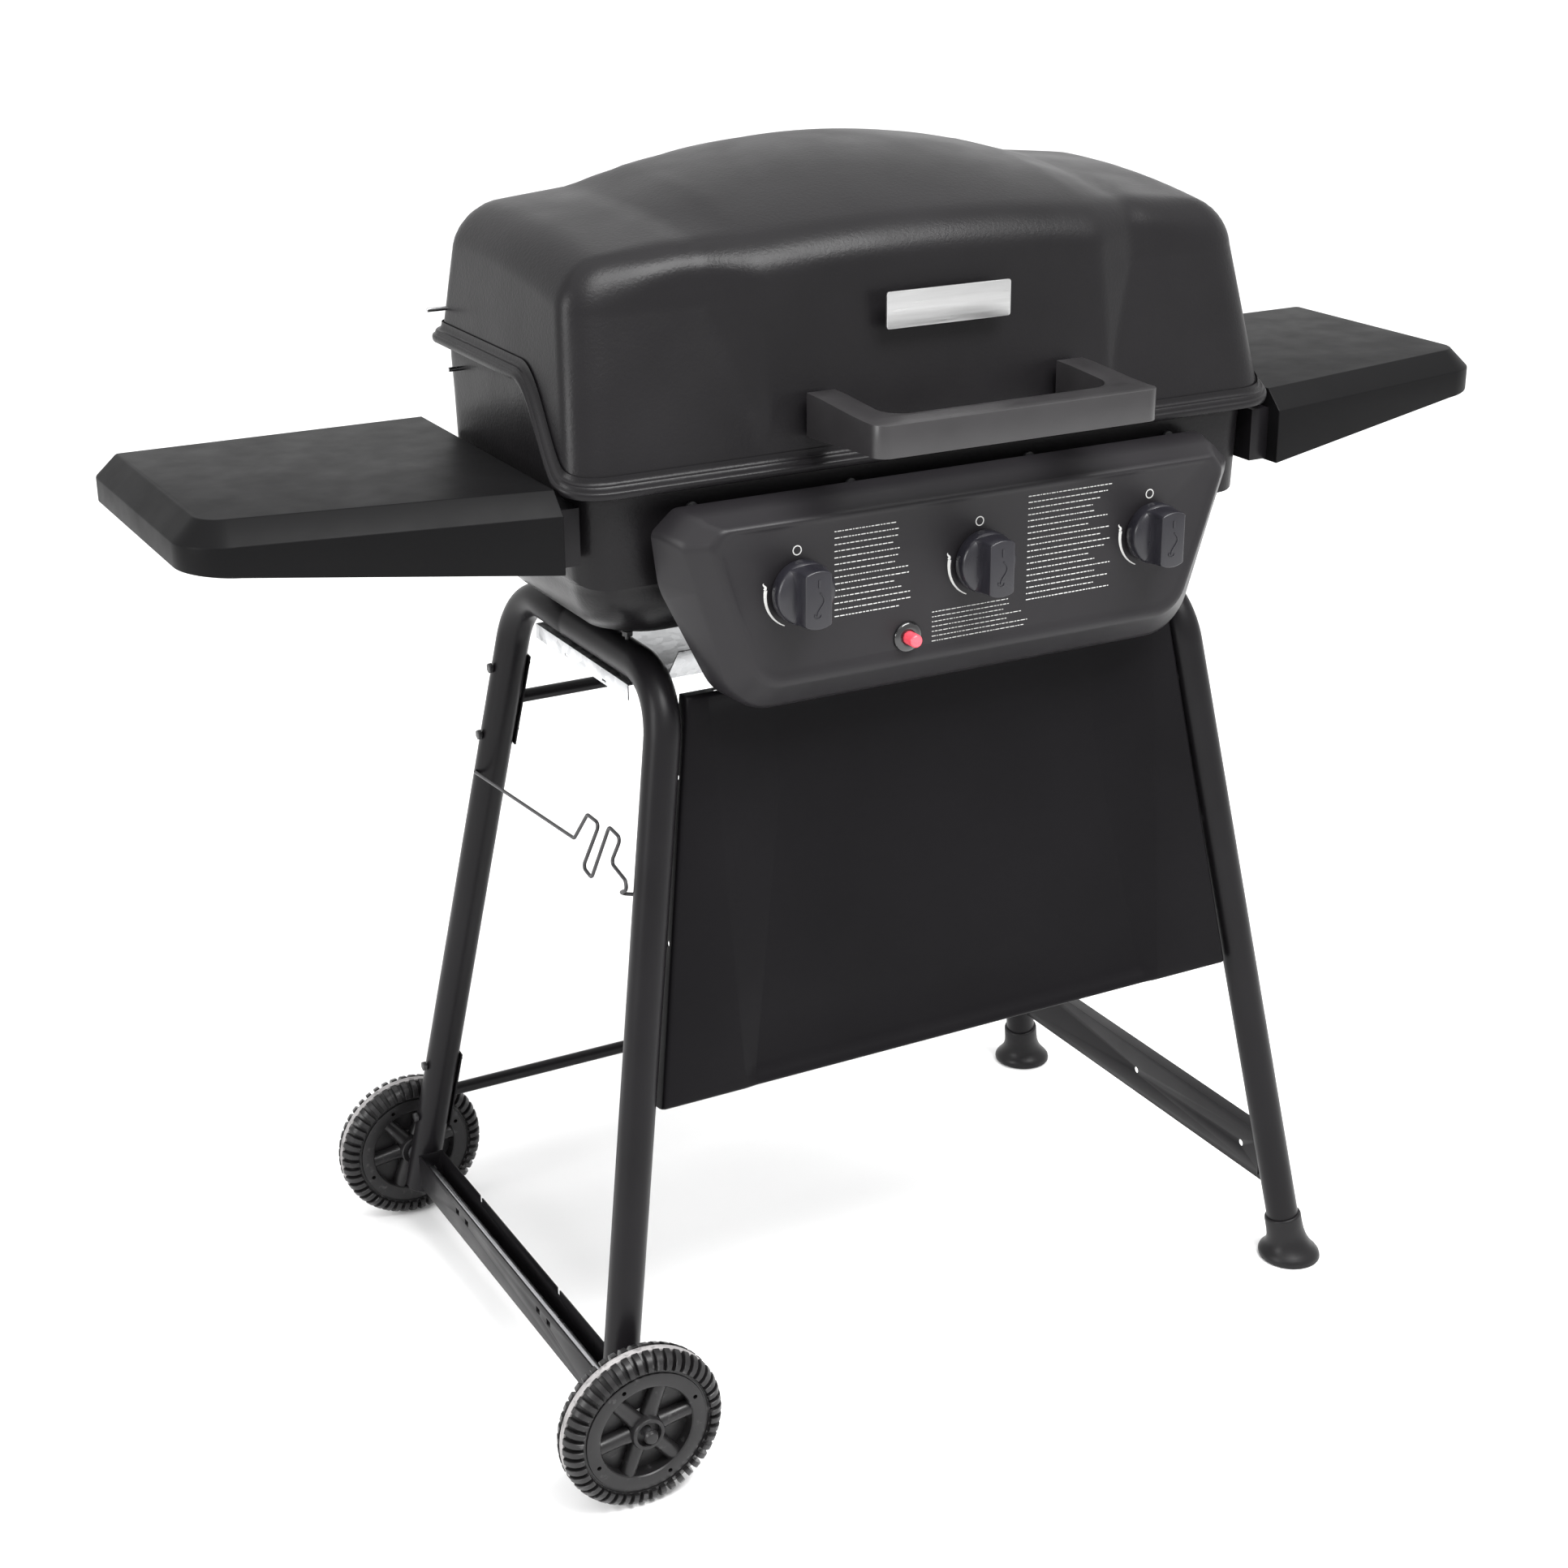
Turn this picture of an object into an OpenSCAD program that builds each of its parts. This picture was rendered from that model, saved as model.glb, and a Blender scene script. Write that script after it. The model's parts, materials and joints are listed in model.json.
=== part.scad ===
// Three-burner gas barbecue grill on a tube cart with two wheels and two feet.
// Millimetres. Origin on the floor under the middle of the cart, +Z up,
// the user stands on the -Y side and +X is to the user's right.

/* [Overall] */
// Width across both side shelves
overall_w = 1300; // [1280:5:1320]
// Height of the shelf tops above the floor
shelf_top_z = 880; // [876:1:884]

/* [Cart tube] */
// Outside diameter of the leg tube
tube_d = 31.8; // [31:0.1:32.5]
// Wall of the leg tube
tube_wall = 1.5; // [1:0.1:2]
// Height of the axis of the top tubes
frame_top_z = 703; // [701:0.5:703]
// Half distance between the top tubes
frame_half_x = 264; // [262:1:266]
// Sideways lean of each side frame in degrees
splay = 9.4; // [9.2:0.1:9.6]
// Lean of each leg within its side frame in degrees
leg_lean = 7.4; // [7.3:0.1:7.5]
// Half distance from the middle to the corner where top tube and leg axes meet
corner_y = 153.5; // [153:0.5:154]
// Centreline radius of the tube bends
bend_r = 60; // [58:1:62]

/* [Wheels] */
// Wheel radius over the tread
wheel_r = 76; // [75:0.5:77]
// Width of the wheel tread
wheel_w = 40; // [38:1:41]
// Middle of each wheel from the middle of the grill
wheel_y = 280; // [279:1:281]
// Diameter of the steel axle
axle_d = 9.6; // [9.4:0.1:9.8]
// Radial play between axle and wheel hub
axle_play = 0.06; // [0.05:0.01:0.08]

/* [Firebox] */
// Half width of the firebox over its walls
box_half_x = 338; // [336:1:339]
// Sheet thickness of firebox and lid
sheet_t = 2; // [2:0.1:2.2]
// Rim height at the front
rim_front_z = 869; // [868:1:870]
// Extra rim height at the back
rim_rise = 77; // [75:1:78]

/* [Lid] */
// Half width of the lid over its side walls
lid_half_x = 348; // [347:1:349]
// Highest point of the lid
lid_top_z = 1114; // [1110:1:1116]
// How far the lid flange stands out
flange_w = 9; // [8:1:10]
// Height of the hinge axis
hinge_z = 951; // [951:0.5:952]
// Hinge axis behind the middle
hinge_y = 168; // [168:1:169]
// Opening angle of the lid in degrees
lid_open = 92; // [80:1:95]

/* [Side shelves] */
// Inner end of each shelf from the middle
shelf_in_x = 358; // [358:1:359]
// Depth of the skirt at the inner end
skirt_in = 67; // [64:1:68]
// Depth of the skirt at the outer end
skirt_out = 39; // [36:1:40]
// Width and drop of the sloped edge
shelf_bevel = 18; // [16:1:19]

/* [Control panel] */
// Front face of the control panel
panel_y = -223; // [-224:1:-222]
// Bottom of the control panel
panel_bottom_z = 690; // [689:1:691]
// Top of the control panel face
panel_top_z = 842; // [840:1:843]
// Distance between neighbouring burner knobs
knob_pitch = 176; // [175:1:177]
// Height of the knob axes
knob_z = 788; // [787:1:789]
// Knob dial diameter
knob_d = 54; // [52:1:56]

/* [Handle] */
// Half length of the lid handle
handle_half_x = 137; // [135:1:140]
// Front of the handle bar
handle_y = -286; // [-288:1:-285]

/* [Fits] */
// Radial play of turning pins
pin_play = 0.05; // [0.03:0.01:0.08]
// Travel of a knob when pushed in
push_travel = 3; // [2.5:0.5:3]

/* [Hidden] */
$fn = 64;
tube_r = tube_d / 2;
bend_turn = 90 - leg_lean;
bend_y = corner_y - bend_r * tan(bend_turn / 2);
leg_y0 = bend_y + bend_r * cos(leg_lean);
leg_s0 = bend_r * (1 - sin(leg_lean));
wheel_z = wheel_r;
sides = [-1, 1];
knob_x = [-knob_pitch, 0, knob_pitch];
rear_bolt_z = [557, 625, 134, 194];
rim_y0 = -168;
rim_y1 = -52;

// ---------- helpers ----------

// Height of a point of a side frame that lies s below the top tube axis
function frame_z(s) = frame_top_z - s * cos(splay);
// Distance from the middle of that point
function frame_x(s) = frame_half_x + s * sin(splay);
// Slope distance below the top tube for a world height
function frame_s(z) = (frame_top_z - z) / cos(splay);
// Leg axis distance from the middle at slope distance s
function leg_y(s) = leg_y0 + (s - leg_s0) * tan(leg_lean);
// Height of the joint line between lid and firebox at depth y
function rim_z(y) =
    let (t = max(0, min(1, (y - rim_y0) / (rim_y1 - rim_y0))))
    rim_front_z + rim_rise * (1 - cos(180 * t)) / 2;

// Moves children into the leaning plane of a side frame
module in_side_frame(side) {
    mirror([side > 0 ? 1 : 0, 0, 0])
        translate([-frame_half_x, 0, frame_top_z])
            rotate([0, splay, 0])
                children();
}

// Straight length of tube along +Z; wall 0 gives a solid bar
module straight_tube(r, wall, h) {
    difference() {
        cylinder(r = r, h = h);
        if (wall > 0)
            translate([0, 0, -1])
                cylinder(r = r - wall, h = h + 2);
    }
}

// Length of leg tube needed below the bend to reach height z
function leg_len(z) = (frame_s(z) - leg_s0) / cos(leg_lean);

// Places children on the leg axis just below the bend, +Z down the leg, towards -Y
module at_leg_start() {
    translate([0, -leg_y0, -leg_s0])
        rotate([180 - leg_lean, 0, 0])
            children();
}

// The wall thickens a little at the bend, and the straight lengths run into it
tube_lap = 1;
bend_swell = 0.06;

// One J-shaped tube; swage is the length of its reduced end
module leg_tube(side, front, end_z, swage) {
    from_y = front ? 33 : -33;
    in_side_frame(side)
        mirror([0, front ? 0 : 1, 0]) {
            translate([0, from_y, 0])
                rotate([90, 0, 0])
                    straight_tube(tube_r, tube_wall, from_y + bend_y + tube_lap);
            translate([0, -bend_y, -bend_r])
                rotate([90, 0, 90])
                    rotate([0, 0, 90])
                        rotate_extrude(angle = bend_turn)
                            translate([bend_r, 0])
                                difference() {
                                    circle(r = tube_r + bend_swell);
                                    circle(r = tube_r - tube_wall - bend_swell);
                                }
            at_leg_start()
                translate([0, 0, -tube_lap])
                    straight_tube(tube_r, tube_wall, leg_len(end_z) + tube_lap);
            if (swage > 0) {
                translate([0, from_y + swage, 0])
                    rotate([90, 0, 0])
                        straight_tube(tube_r - tube_wall - 0.1, tube_wall, swage + 6);
                // shoulder where the tube is reduced
                translate([0, from_y, 0])
                    rotate([90, 0, 0])
                        straight_tube(tube_r - 0.2, tube_wall * 2 - 0.4, 3);
            }
        }
}

// Round bar through a list of points
module bent_rod(points, d) {
    for (i = [0 : len(points) - 2])
        rod_piece(points[i], points[i + 1], d);
    // the ball at each bend is a little thicker than the rod
    for (i = [1 : len(points) - 2])
        translate(points[i])
            sphere(d = d + 0.24);
}

module rod_piece(a, b, d) {
    v = b - a;
    len_v = norm(v);
    translate(a)
        rotate([0, acos(v[2] / len_v), atan2(v[1], v[0])])
            cylinder(d = d, h = len_v);
}

// Cylinder along Y centred on a point
module y_pin(x, y0, y1, z, d) {
    translate([x, y1, z])
        rotate([90, 0, 0])
            cylinder(d = d, h = y1 - y0);
}

// Cylinder along X
module x_pin(x0, x1, y, z, d) {
    translate([x0, y, z])
        rotate([0, 90, 0])
            cylinder(d = d, h = x1 - x0);
}

module z_pin(x, y, z0, z1, d) {
    translate([x, y, z0])
        cylinder(d = d, h = z1 - z0);
}

// ---------- cart ----------

module axle_holes() {
    for (y = [-260, 200])
        y_pin(-frame_x(frame_s(wheel_z)), y, y + 60, wheel_z, axle_d);
}

// Bolt holes through a top tube and, on a rear leg, through the leg itself
module tube_holes(side, front) {
    z_pin(side * frame_half_x, front ? -80 : 70, frame_top_z - 20, frame_top_z + 20, 5);
    if (!front)
        for (z = rear_bolt_z)
            x_pin(side * frame_x(frame_s(z)) - 25, side * frame_x(frame_s(z)) + 25,
                leg_y(frame_s(z)), z, 5);
}

module left_front_leg() {
    color("#26262a")
        difference() {
            leg_tube(-1, true, 48, 0);
            axle_holes();
            tube_holes(-1, true);
            // end of the tank wire
            y_pin(-frame_x(frame_s(516)), -leg_y(frame_s(516)), -leg_y(frame_s(516)) + 25, 518.5, 5.4);
        }
}

module left_rear_leg() {
    color("#26262a")
        difference() {
            leg_tube(-1, false, 48, 40);
            axle_holes();
            tube_holes(-1, false);
            // start of the tank wire
            x_pin(-frame_x(frame_s(516)) - 25, -frame_x(frame_s(516)), leg_y(frame_s(516)), 519, 4.2);
        }
}

module right_front_leg() {
    color("#26262a")
        difference() {
            leg_tube(1, true, 8, 0);
            tube_holes(1, true);
        }
}

module right_rear_leg() {
    color("#26262a")
        difference() {
            leg_tube(1, false, 8, 40);
            tube_holes(1, false);
        }
}

// Where the lower braces sit
brace_x = frame_x(frame_s(wheel_z));
brace_half_y = leg_y(frame_s(wheel_z + 20)) - tube_r - 0.6;

// Open channel that hides the axle
module left_lower_brace() {
    w = 26;
    h = 36;
    t = 1.6;
    z0 = wheel_z - 16;
    color("#1d1d20")
        difference() {
            translate([-brace_x - w / 2, -brace_half_y, z0])
                cube([w, 2 * brace_half_y, h]);
            translate([-brace_x - w / 2 + t, -brace_half_y + t, z0 + t])
                cube([w - 2 * t, 2 * brace_half_y - 2 * t, h]);
            y_pin(-brace_x, -brace_half_y - 1, brace_half_y + 1, wheel_z, axle_d + 1);
            // slots pressed through the outer wall
            for (y = [-112, -88, 88, 112])
                translate([-brace_x - w / 2 - 1, y - 4, z0 + 22])
                    cube([4, 8, 6]);
            // relief notches in the inner wall
            for (y = [-80, 110])
                translate([-brace_x + w / 2 - 3, y - 3, z0 + h - 7])
                    cube([5, 6, 9]);
        }
}

// Flat plate with a folded top edge and end tabs
module right_lower_brace() {
    t = 1.6;
    z0 = 74;
    h = 52;
    x0 = frame_x(frame_s(z0 + h / 2));
    hy = leg_y(frame_s(z0 + h / 2)) - tube_r - 3;
    color("#1d1d20")
        difference() {
            union() {
                translate([x0, -hy, z0])
                    cube([t, 2 * hy, h]);
                translate([x0, -hy, z0 + h - t])
                    cube([14, 2 * hy, t]);
                for (s = sides)
                    translate([x0 - 5, s * (hy - 0.8) - 0.8, z0 + 8])
                        cube([18, t, h - 16]);
            }
            for (y = [-178, 3])
                x_pin(x0 - 1, x0 + 4, y, z0 + 26, 7);
        }
}

// Thin cross tube with a vertical plate at each end
module rear_rail(z, plate_z0, plate_h) {
    s = frame_s(z);
    y = leg_y(s);
    reach = frame_x(s) - tube_r - 1.6;
    color("#1d1d20")
        difference() {
            union() {
                x_pin(-reach, reach, y, z, 12.7);
                for (side = sides)
                    rail_plate(side, plate_z0, plate_h);
            }
            x_pin(-reach - 3, reach + 3, y, z, 10.2);
            for (side = sides)
                for (dz = [12, plate_h - 12])
                    x_pin(side * frame_x(frame_s(plate_z0 + dz)) - 25,
                        side * frame_x(frame_s(plate_z0 + dz)) + 25,
                        leg_y(frame_s(plate_z0 + dz)), plate_z0 + dz, 5);
        }
}

module rail_plate(side, plate_z0, plate_h) {
    s1 = frame_s(plate_z0 + plate_h);
    in_side_frame(side)
        translate([0, leg_y(s1), -s1])
            rotate([leg_lean, 0, 0])
                translate([tube_r + 0.1, -9, -plate_h])
                    cube([1.6, 18, plate_h]);
}

module upper_rear_rail() {
    rear_rail(590, 545, 92);
}

module lower_rear_rail() {
    rear_rail(157, 122, 84);
}

// Sheet-steel front panel, folded at the sides, top and bottom
front_panel_top = 688;
front_panel_h = 360;
front_panel_w0 = 249;
front_panel_w1 = 304;

// Puts children in the leaning plane of the front legs, x across, z down from the top
module in_front_plane() {
    s = frame_s(front_panel_top);
    translate([0, -leg_y(s), front_panel_top])
        rotate([-atan(tan(leg_lean) / cos(splay)), 0, 0])
            children();
}

module panel_shape(w0, w1, h, y0, t) {
    translate([0, y0 + t, 0])
        rotate([90, 0, 0])
            linear_extrude(height = t)
                polygon([[-w0, 0], [w0, 0], [w1, -h], [-w1, -h]]);
}

module front_panel() {
    t = 1.5;
    d = 16;
    color("#232326")
        in_front_plane()
            difference() {
                panel_shape(front_panel_w0, front_panel_w1, front_panel_h, -8, d);
                translate([0, 0, -t])
                    panel_shape(front_panel_w0 - t, front_panel_w1 - t, front_panel_h - 2 * t, -8 + t, d);
                // slots in the top fold
                for (x = [-222, -205])
                    translate([x, -1, -t - 1])
                        cube([11, 4, t + 2]);
                // screw holes through the side folds
                for (side = sides)
                    for (dz = [70, 214])
                        x_pin(side * 280 - 60, side * 280 + 60, 2, -dz, 5);
            }
}

// Flared plastic foot on a right-hand leg
module foot(front) {
    sy = front ? -1 : 1;
    xf = frame_x(frame_s(12));
    yf = sy * leg_y(frame_s(12));
    color("#1b1b1d")
        difference() {
            union() {
                translate([xf, yf, 0])
                    rotate_extrude()
                        polygon(concat(
                            [[0, 0], [30, 0], [31, 2], [31, 5]],
                            [for (a = [0 : 15 : 90]) [18.5 + 11 * (1 - sin(a)), 22 - 14 * cos(a)]],
                            [[18.5, 27], [0, 27]]));
                intersection() {
                    in_side_frame(1)
                        mirror([0, front ? 0 : 1, 0])
                            at_leg_start()
                                translate([0, 0, leg_len(47)])
                                    cylinder(r = 18.5, h = 40);
                    translate([xf - 60, yf - 60, 8])
                        cube([120, 120, 60]);
                }
            }
            in_side_frame(1)
                mirror([0, front ? 0 : 1, 0])
                    at_leg_start()
                        translate([0, 0, leg_len(60)])
                            cylinder(r = tube_r, h = leg_len(8) - leg_len(60));
        }
}

module right_front_foot() {
    foot(true);
}

module right_rear_foot() {
    foot(false);
}

// ---------- wheels and axle ----------

module axle() {
    color("#8c8c90")
        y_pin(-brace_x, -304, 304, wheel_z, axle_d);
}

// Section of one wheel half, radius against width
module wheel_section() {
    hw = wheel_w / 2;
    polygon([
        [axle_d / 2 + axle_play, -21.5], [11, -21.5], [15, -18], [15, -3], [52, -3],
        [52, -15], [56, -18], [69, -hw], [73, -hw + 3], [wheel_r, -hw + 8],
        [wheel_r, -5], [wheel_r - 2, -4], [wheel_r - 2, 4], [wheel_r, 5],
        [wheel_r, hw - 8], [73, hw - 3], [69, hw], [56, 18], [52, 15],
        [52, 3], [15, 3], [15, 18], [11, 21.5], [axle_d / 2 + axle_play, 21.5]
    ]);
}

module wheel(side) {
    color("#2a2a2c")
        translate([-brace_x, side * wheel_y, wheel_z])
            rotate([90, 0, 0]) {
                rotate_extrude()
                    wheel_section();
                for (i = [0 : 5])
                    rotate([0, 0, i * 60 + 30])
                        translate([14, -5, -9])
                            cube([39, 10, 18]);
            }
}

module front_wheel() {
    wheel(-1);
}

module rear_wheel() {
    wheel(1);
}

// Push-on caps that hold the wheels
module axle_caps() {
    color("#202022")
        for (s = sides)
            difference() {
                translate([-brace_x, s * 301.9, wheel_z])
                    rotate([-s * 90, 0, 0])
                        cylinder(r1 = 7, r2 = 5, h = 4.1);
                y_pin(-brace_x, -304, 304, wheel_z, axle_d);
            }
}

// Flat washers between legs and wheels
module axle_washers() {
    y0 = leg_y(frame_s(wheel_z)) + tube_r + 2.2;
    y1 = wheel_y - 21.5 - 0.4;
    color("#8c8c90")
        for (s = sides)
            difference() {
                y_pin(-brace_x, min(s * y0, s * y1), max(s * y0, s * y1), wheel_z, 20);
                y_pin(-brace_x, -300, 300, wheel_z, axle_d);
            }
}

// Bolts through the legs: hex head outside
module bolt_x(side, y, z, x_head, len_b) {
    translate([side * x_head, y, z])
        rotate([0, -side * 90, 0]) {
            cylinder(d = 10, h = 3.5, $fn = 6);
            cylinder(d = 4.8, h = len_b);
        }
}

module frame_bolts() {
    color("#77777b")
        for (side = sides)
            for (z = rear_bolt_z)
                bolt_x(side, leg_y(frame_s(z)), z, frame_x(frame_s(z)) + tube_r + 4.7, tube_d + 10.5);
}

// Spring wire between the left legs that keeps a tank out
module tank_retainer_wire() {
    s = frame_s(516);
    x = -frame_x(s) - tube_r - 2.2;
    yr = leg_y(s);
    xin = -frame_x(s);
    color("#2a2a2c")
        bent_rod([
            [xin, yr, 519], [x, yr, 519], [x, -54, 534], [x, -75, 520], [x, -78, 538],
            [x + 1, -92, 561], [x + 1, -104, 563], [x + 2, -100, 545], [x + 3, -88, 522],
            [x + 3, -99, 516], [x + 4, -112, 538], [x + 4, -126, 560], [x + 5, -138, 562],
            [x + 5, -132, 540], [xin, -150, 522], [xin, -leg_y(s) + 6, 516]
        ], 3.4);
}

// ---------- body of the grill ----------

// Rounded solid over a list of [x, y, z, r] corners, mirrored in x
module round_body(corners, grow) {
    hull()
        for (c = corners)
            for (s = sides)
                translate([s * c[0], c[1], c[2]])
                    sphere(r = c[3] + grow, $fn = 20);
}

lid_low = [
    [lid_half_x - 22, -146, rim_front_z - 2, 22],
    [lid_half_x - 22, 122, rim_front_z - 2, 22],
    [lid_half_x - 22, 122, rim_front_z + rim_rise, 22]
];
lid_side = [
    [306, -78, 990, 22],
    [300, -20, 1026, 22],
    [300, 60, 1038, 22],
    [306, 88, 1010, 22]
];
lid_crown = [
    [150, -108, 900, 60],
    [150, -108, 1000, 60],
    [150, 5, lid_top_z - 60, 60],
    [150, 70, lid_top_z - 86, 60]
];
lid_corners = concat(lid_low, lid_side, lid_crown);

box_top = [
    [box_half_x - 22, -134, 820, 22],
    [box_half_x - 22, -134, 960, 22],
    [box_half_x - 22, 112, 820, 22],
    [box_half_x - 22, 112, 1000, 22]
];
box_low = [
    [box_half_x - 70, -112, 744, 24.4],
    [box_half_x - 70, 92, 744, 24.4]
];
box_corners = concat(box_top, box_low);

// Everything below the joint line, shifted up by dz
module below_rim(dz, y0, y1, depth) {
    steps = 18;
    translate([-500, 0, 0])
        rotate([90, 0, 90])
            linear_extrude(height = 1000)
                polygon(concat(
                    [[y0, rim_front_z + dz]],
                    [for (i = [0 : steps])
                        let (y = rim_y0 + (rim_y1 - rim_y0) * i / steps) [y, rim_z(y) + dz]],
                    [[y1, rim_front_z + rim_rise + dz], [y1, depth], [y0, depth]]));
}

// Band of thickness t that follows the joint line
module rim_band(t) {
    difference() {
        below_rim(t, -400, 400, 800);
        below_rim(0, -401, 401, 700);
    }
}

module lid() {
    color("#1f1f22")
        difference() {
            union() {
                difference() {
                    round_body(lid_corners, 0);
                    below_rim(1, -400, 400, 700);
                }
                intersection() {
                    round_body(lid_low_wide, flange_w);
                    translate([0, 0, 1])
                        rim_band(4);
                }
            }
            round_body(lid_corners, -sheet_t);
            // holes for the warming rack
            for (s = sides)
                x_pin(s * 345 - 20, s * 345 + 20, rack_lid_y, rack_lid_z, rack_d + 2 * pin_play);
            // screws of the handle, studs of the plate, screws of the hinge ears
            for (s = sides) {
                for (dz = [-6, 6])
                    y_pin(s * 123.5, -175, -155, 917 + dz, 4.6);
                y_pin(s * 48, -175, -155, 995, 3.4);
                at_ear_screws(s * hinge_x)
                    translate([0, 0, -8])
                        cylinder(d = 4, h = 12);
            }
        }
}

lid_low_wide = [
    [lid_half_x - 22, -146, rim_front_z - 20, 22],
    [lid_half_x - 22, 122, rim_front_z - 20, 22],
    [lid_half_x - 22, -146, rim_front_z + rim_rise + 20, 22],
    [lid_half_x - 22, 122, rim_front_z + rim_rise + 20, 22]
];

// Warming rack pivots: on the lid and on the firebox
rack_d = 4;
rack_lid_y = 120;
rack_lid_z = 977;
rack_box_y = 84;
rack_box_z = 931;
rack_move_y = rack_lid_y - hinge_y;
rack_move_z = rack_lid_z - hinge_z;
rack_front_y = rack_box_y + rack_move_y;
rack_front_z = rack_box_z + rack_move_z;

grate_z = 856;
burner_z = 790;

module firebox() {
    color("#1b1b1e")
        difference() {
            union() {
                difference() {
                    intersection() {
                        round_body(box_corners, 0);
                        below_rim(0, -400, 400, 600);
                    }
                    round_body(box_corners, -sheet_t);
                }
                // ledges that carry the cooking grates
                for (y = [-154, 122])
                    translate([-300, y, grate_z - 14])
                        cube([600, 10, 4]);
                // ledges that carry the heat tents
                for (y = [-154, 122])
                    translate([-290, y, 818])
                        cube([580, 11, 3]);
            }
            // burner tubes through the front wall
            for (x = knob_x)
                y_pin(x, -170, -140, burner_z, 30);
            // swing leg pivots
            for (s = sides)
                x_pin(s * 335 - 20, s * 335 + 20, rack_box_y, rack_box_z, rack_d + 2 * pin_play);
            // grease drain
            z_pin(0, -10, 700, 730, 40);
            // screws of the shelf brackets and of the control panel
            for (s = sides) {
                for (y = [-100, 90])
                    x_pin(s * box_half_x - 10, s * box_half_x + 10, y, shelf_top_z - skirt_in + 26, 5.2);
                for (x = [s * 90, s * 240])
                    y_pin(x, -170, -147, 851, 5.2);
            }
            // bolt holes to the top tubes
            for (s = sides)
                for (y = [-80, 70])
                    z_pin(s * frame_half_x, y, 700, 730, 5);
            // air slots in the back wall
            for (i = [-4 : 4])
                translate([i * 60 - 20, 120, 905])
                    cube([40, 30, 8]);
        }
}

module firebox_bolts() {
    color("#77777b")
        for (s = sides)
            for (y = [-80, 70]) {
                z_pin(s * frame_half_x, y, frame_top_z - tube_r - 8, 724, 4.8);
                translate([s * frame_half_x, y, 722])
                    cylinder(d = 10, h = 4, $fn = 6);
                translate([s * frame_half_x, y, frame_top_z - tube_r - 6])
                    cylinder(d = 9, h = 4, $fn = 6);
            }
}

hinge_x = 232;
hinge_pin_d = 6;

// Forked brackets on the back of the firebox
module firebox_hinge_brackets() {
    color("#1b1b1e")
        for (s = sides)
            translate([s * hinge_x, 0, 0])
                difference() {
                    union() {
                        translate([-14, 134.2, hinge_z - 60])
                            cube([28, 2, 44]);
                        for (x = [-14, 12])
                            rotate([90, 0, 90])
                                translate([0, 0, x])
                                    linear_extrude(height = 2)
                                        polygon([
                                            [134.2, hinge_z - 60], [150, hinge_z - 40],
                                            [hinge_y + 7, hinge_z - 12], [hinge_y + 7, hinge_z + 5],
                                            [hinge_y + 3, hinge_z + 8], [hinge_y - 4, hinge_z + 8],
                                            [hinge_y - 8, hinge_z + 4], [hinge_y - 8, hinge_z - 14],
                                            [134.2, hinge_z - 16]
                                        ]);
                    }
                    x_pin(-20, 20, hinge_y, hinge_z, hinge_pin_d);
                }
}

module hinge_pins() {
    color("#8c8c90")
        for (s = sides)
            difference() {
                union() {
                    x_pin(s * hinge_x - 20, s * hinge_x + 22, hinge_y, hinge_z, hinge_pin_d);
                    x_pin(s * hinge_x - 17, s * hinge_x - 14.1, hinge_y, hinge_z, 11);
                }
                z_pin(s * hinge_x + 18.5, hinge_y, hinge_z - 5, hinge_z + 5, 1.8);
            }
}

// Hairpin clips through the pin ends
module hinge_pin_clips() {
    color("#8c8c90")
        for (s = sides) {
            x = s * hinge_x + 18.5;
            bent_rod([
                [x, hinge_y, hinge_z + 6], [x, hinge_y, hinge_z - 14], [x, hinge_y + 2.4, hinge_z - 18],
                [x, hinge_y + 5.6, hinge_z - 15], [x, hinge_y + 3.95, hinge_z - 5],
                [x, hinge_y + 3.95, hinge_z + 3], [x, hinge_y + 6, hinge_z + 7]
            ], 1.6);
        }
}

// Lean of the lid's back where the hinge ears are fixed
ear_lean = 9.4;
ear_y = 142.3;

// Places children on the axes of the screws of one hinge ear, +Z pointing away from the lid
module at_ear_screws(x) {
    for (dx = [-6, 6])
        translate([x + dx, ear_y, hinge_z + 10])
            rotate([ear_lean, 0, 0])
                translate([0, 0, 18])
                    rotate([-90, 0, 0])
                        children();
}

// Single ears on the back of the lid, between the forks
module lid_hinge_brackets() {
    color("#1b1b1e")
        for (s = sides)
            translate([s * hinge_x, 0, 0])
                difference() {
                    union() {
                        rotate([90, 0, 90])
                            translate([0, 0, -1.5])
                                linear_extrude(height = 3)
                                    polygon([
                                        [142.6, hinge_z + 10], [hinge_y - 8, hinge_z + 2],
                                        [hinge_y - 5, hinge_z - 5], [hinge_y + 2, hinge_z - 6.5],
                                        [hinge_y + 6.5, hinge_z - 2], [hinge_y + 6.5, hinge_z + 3],
                                        [hinge_y, hinge_z + 12], [138.4, hinge_z + 38]
                                    ]);
                        translate([-10.5, ear_y, hinge_z + 10])
                            rotate([ear_lean, 0, 0])
                                cube([21, 2, 30]);
                    }
                    at_ear_screws(0)
                        translate([0, 0, -2])
                            cylinder(d = 4, h = 6);
                    x_pin(-20, 20, hinge_y, hinge_z, hinge_pin_d + 2 * pin_play);
                }
}

// Screws that hold the hinge ears and the handle to the lid
module lid_screws() {
    color("#77777b") {
        for (s = sides)
            for (dz = [-6, 6]) {
                y_pin(s * 123.5, -176, -164, 917 + dz, 4.2);
                y_pin(s * 123.5, -165.2, -161, 917 + dz, 8);
            }
        for (s = sides)
            at_ear_screws(s * hinge_x) {
                translate([0, 0, 2.1])
                    cylinder(d = 7, h = 2);
                translate([0, 0, -5])
                    cylinder(d = 3.6, h = 8);
            }
    }
}

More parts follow.
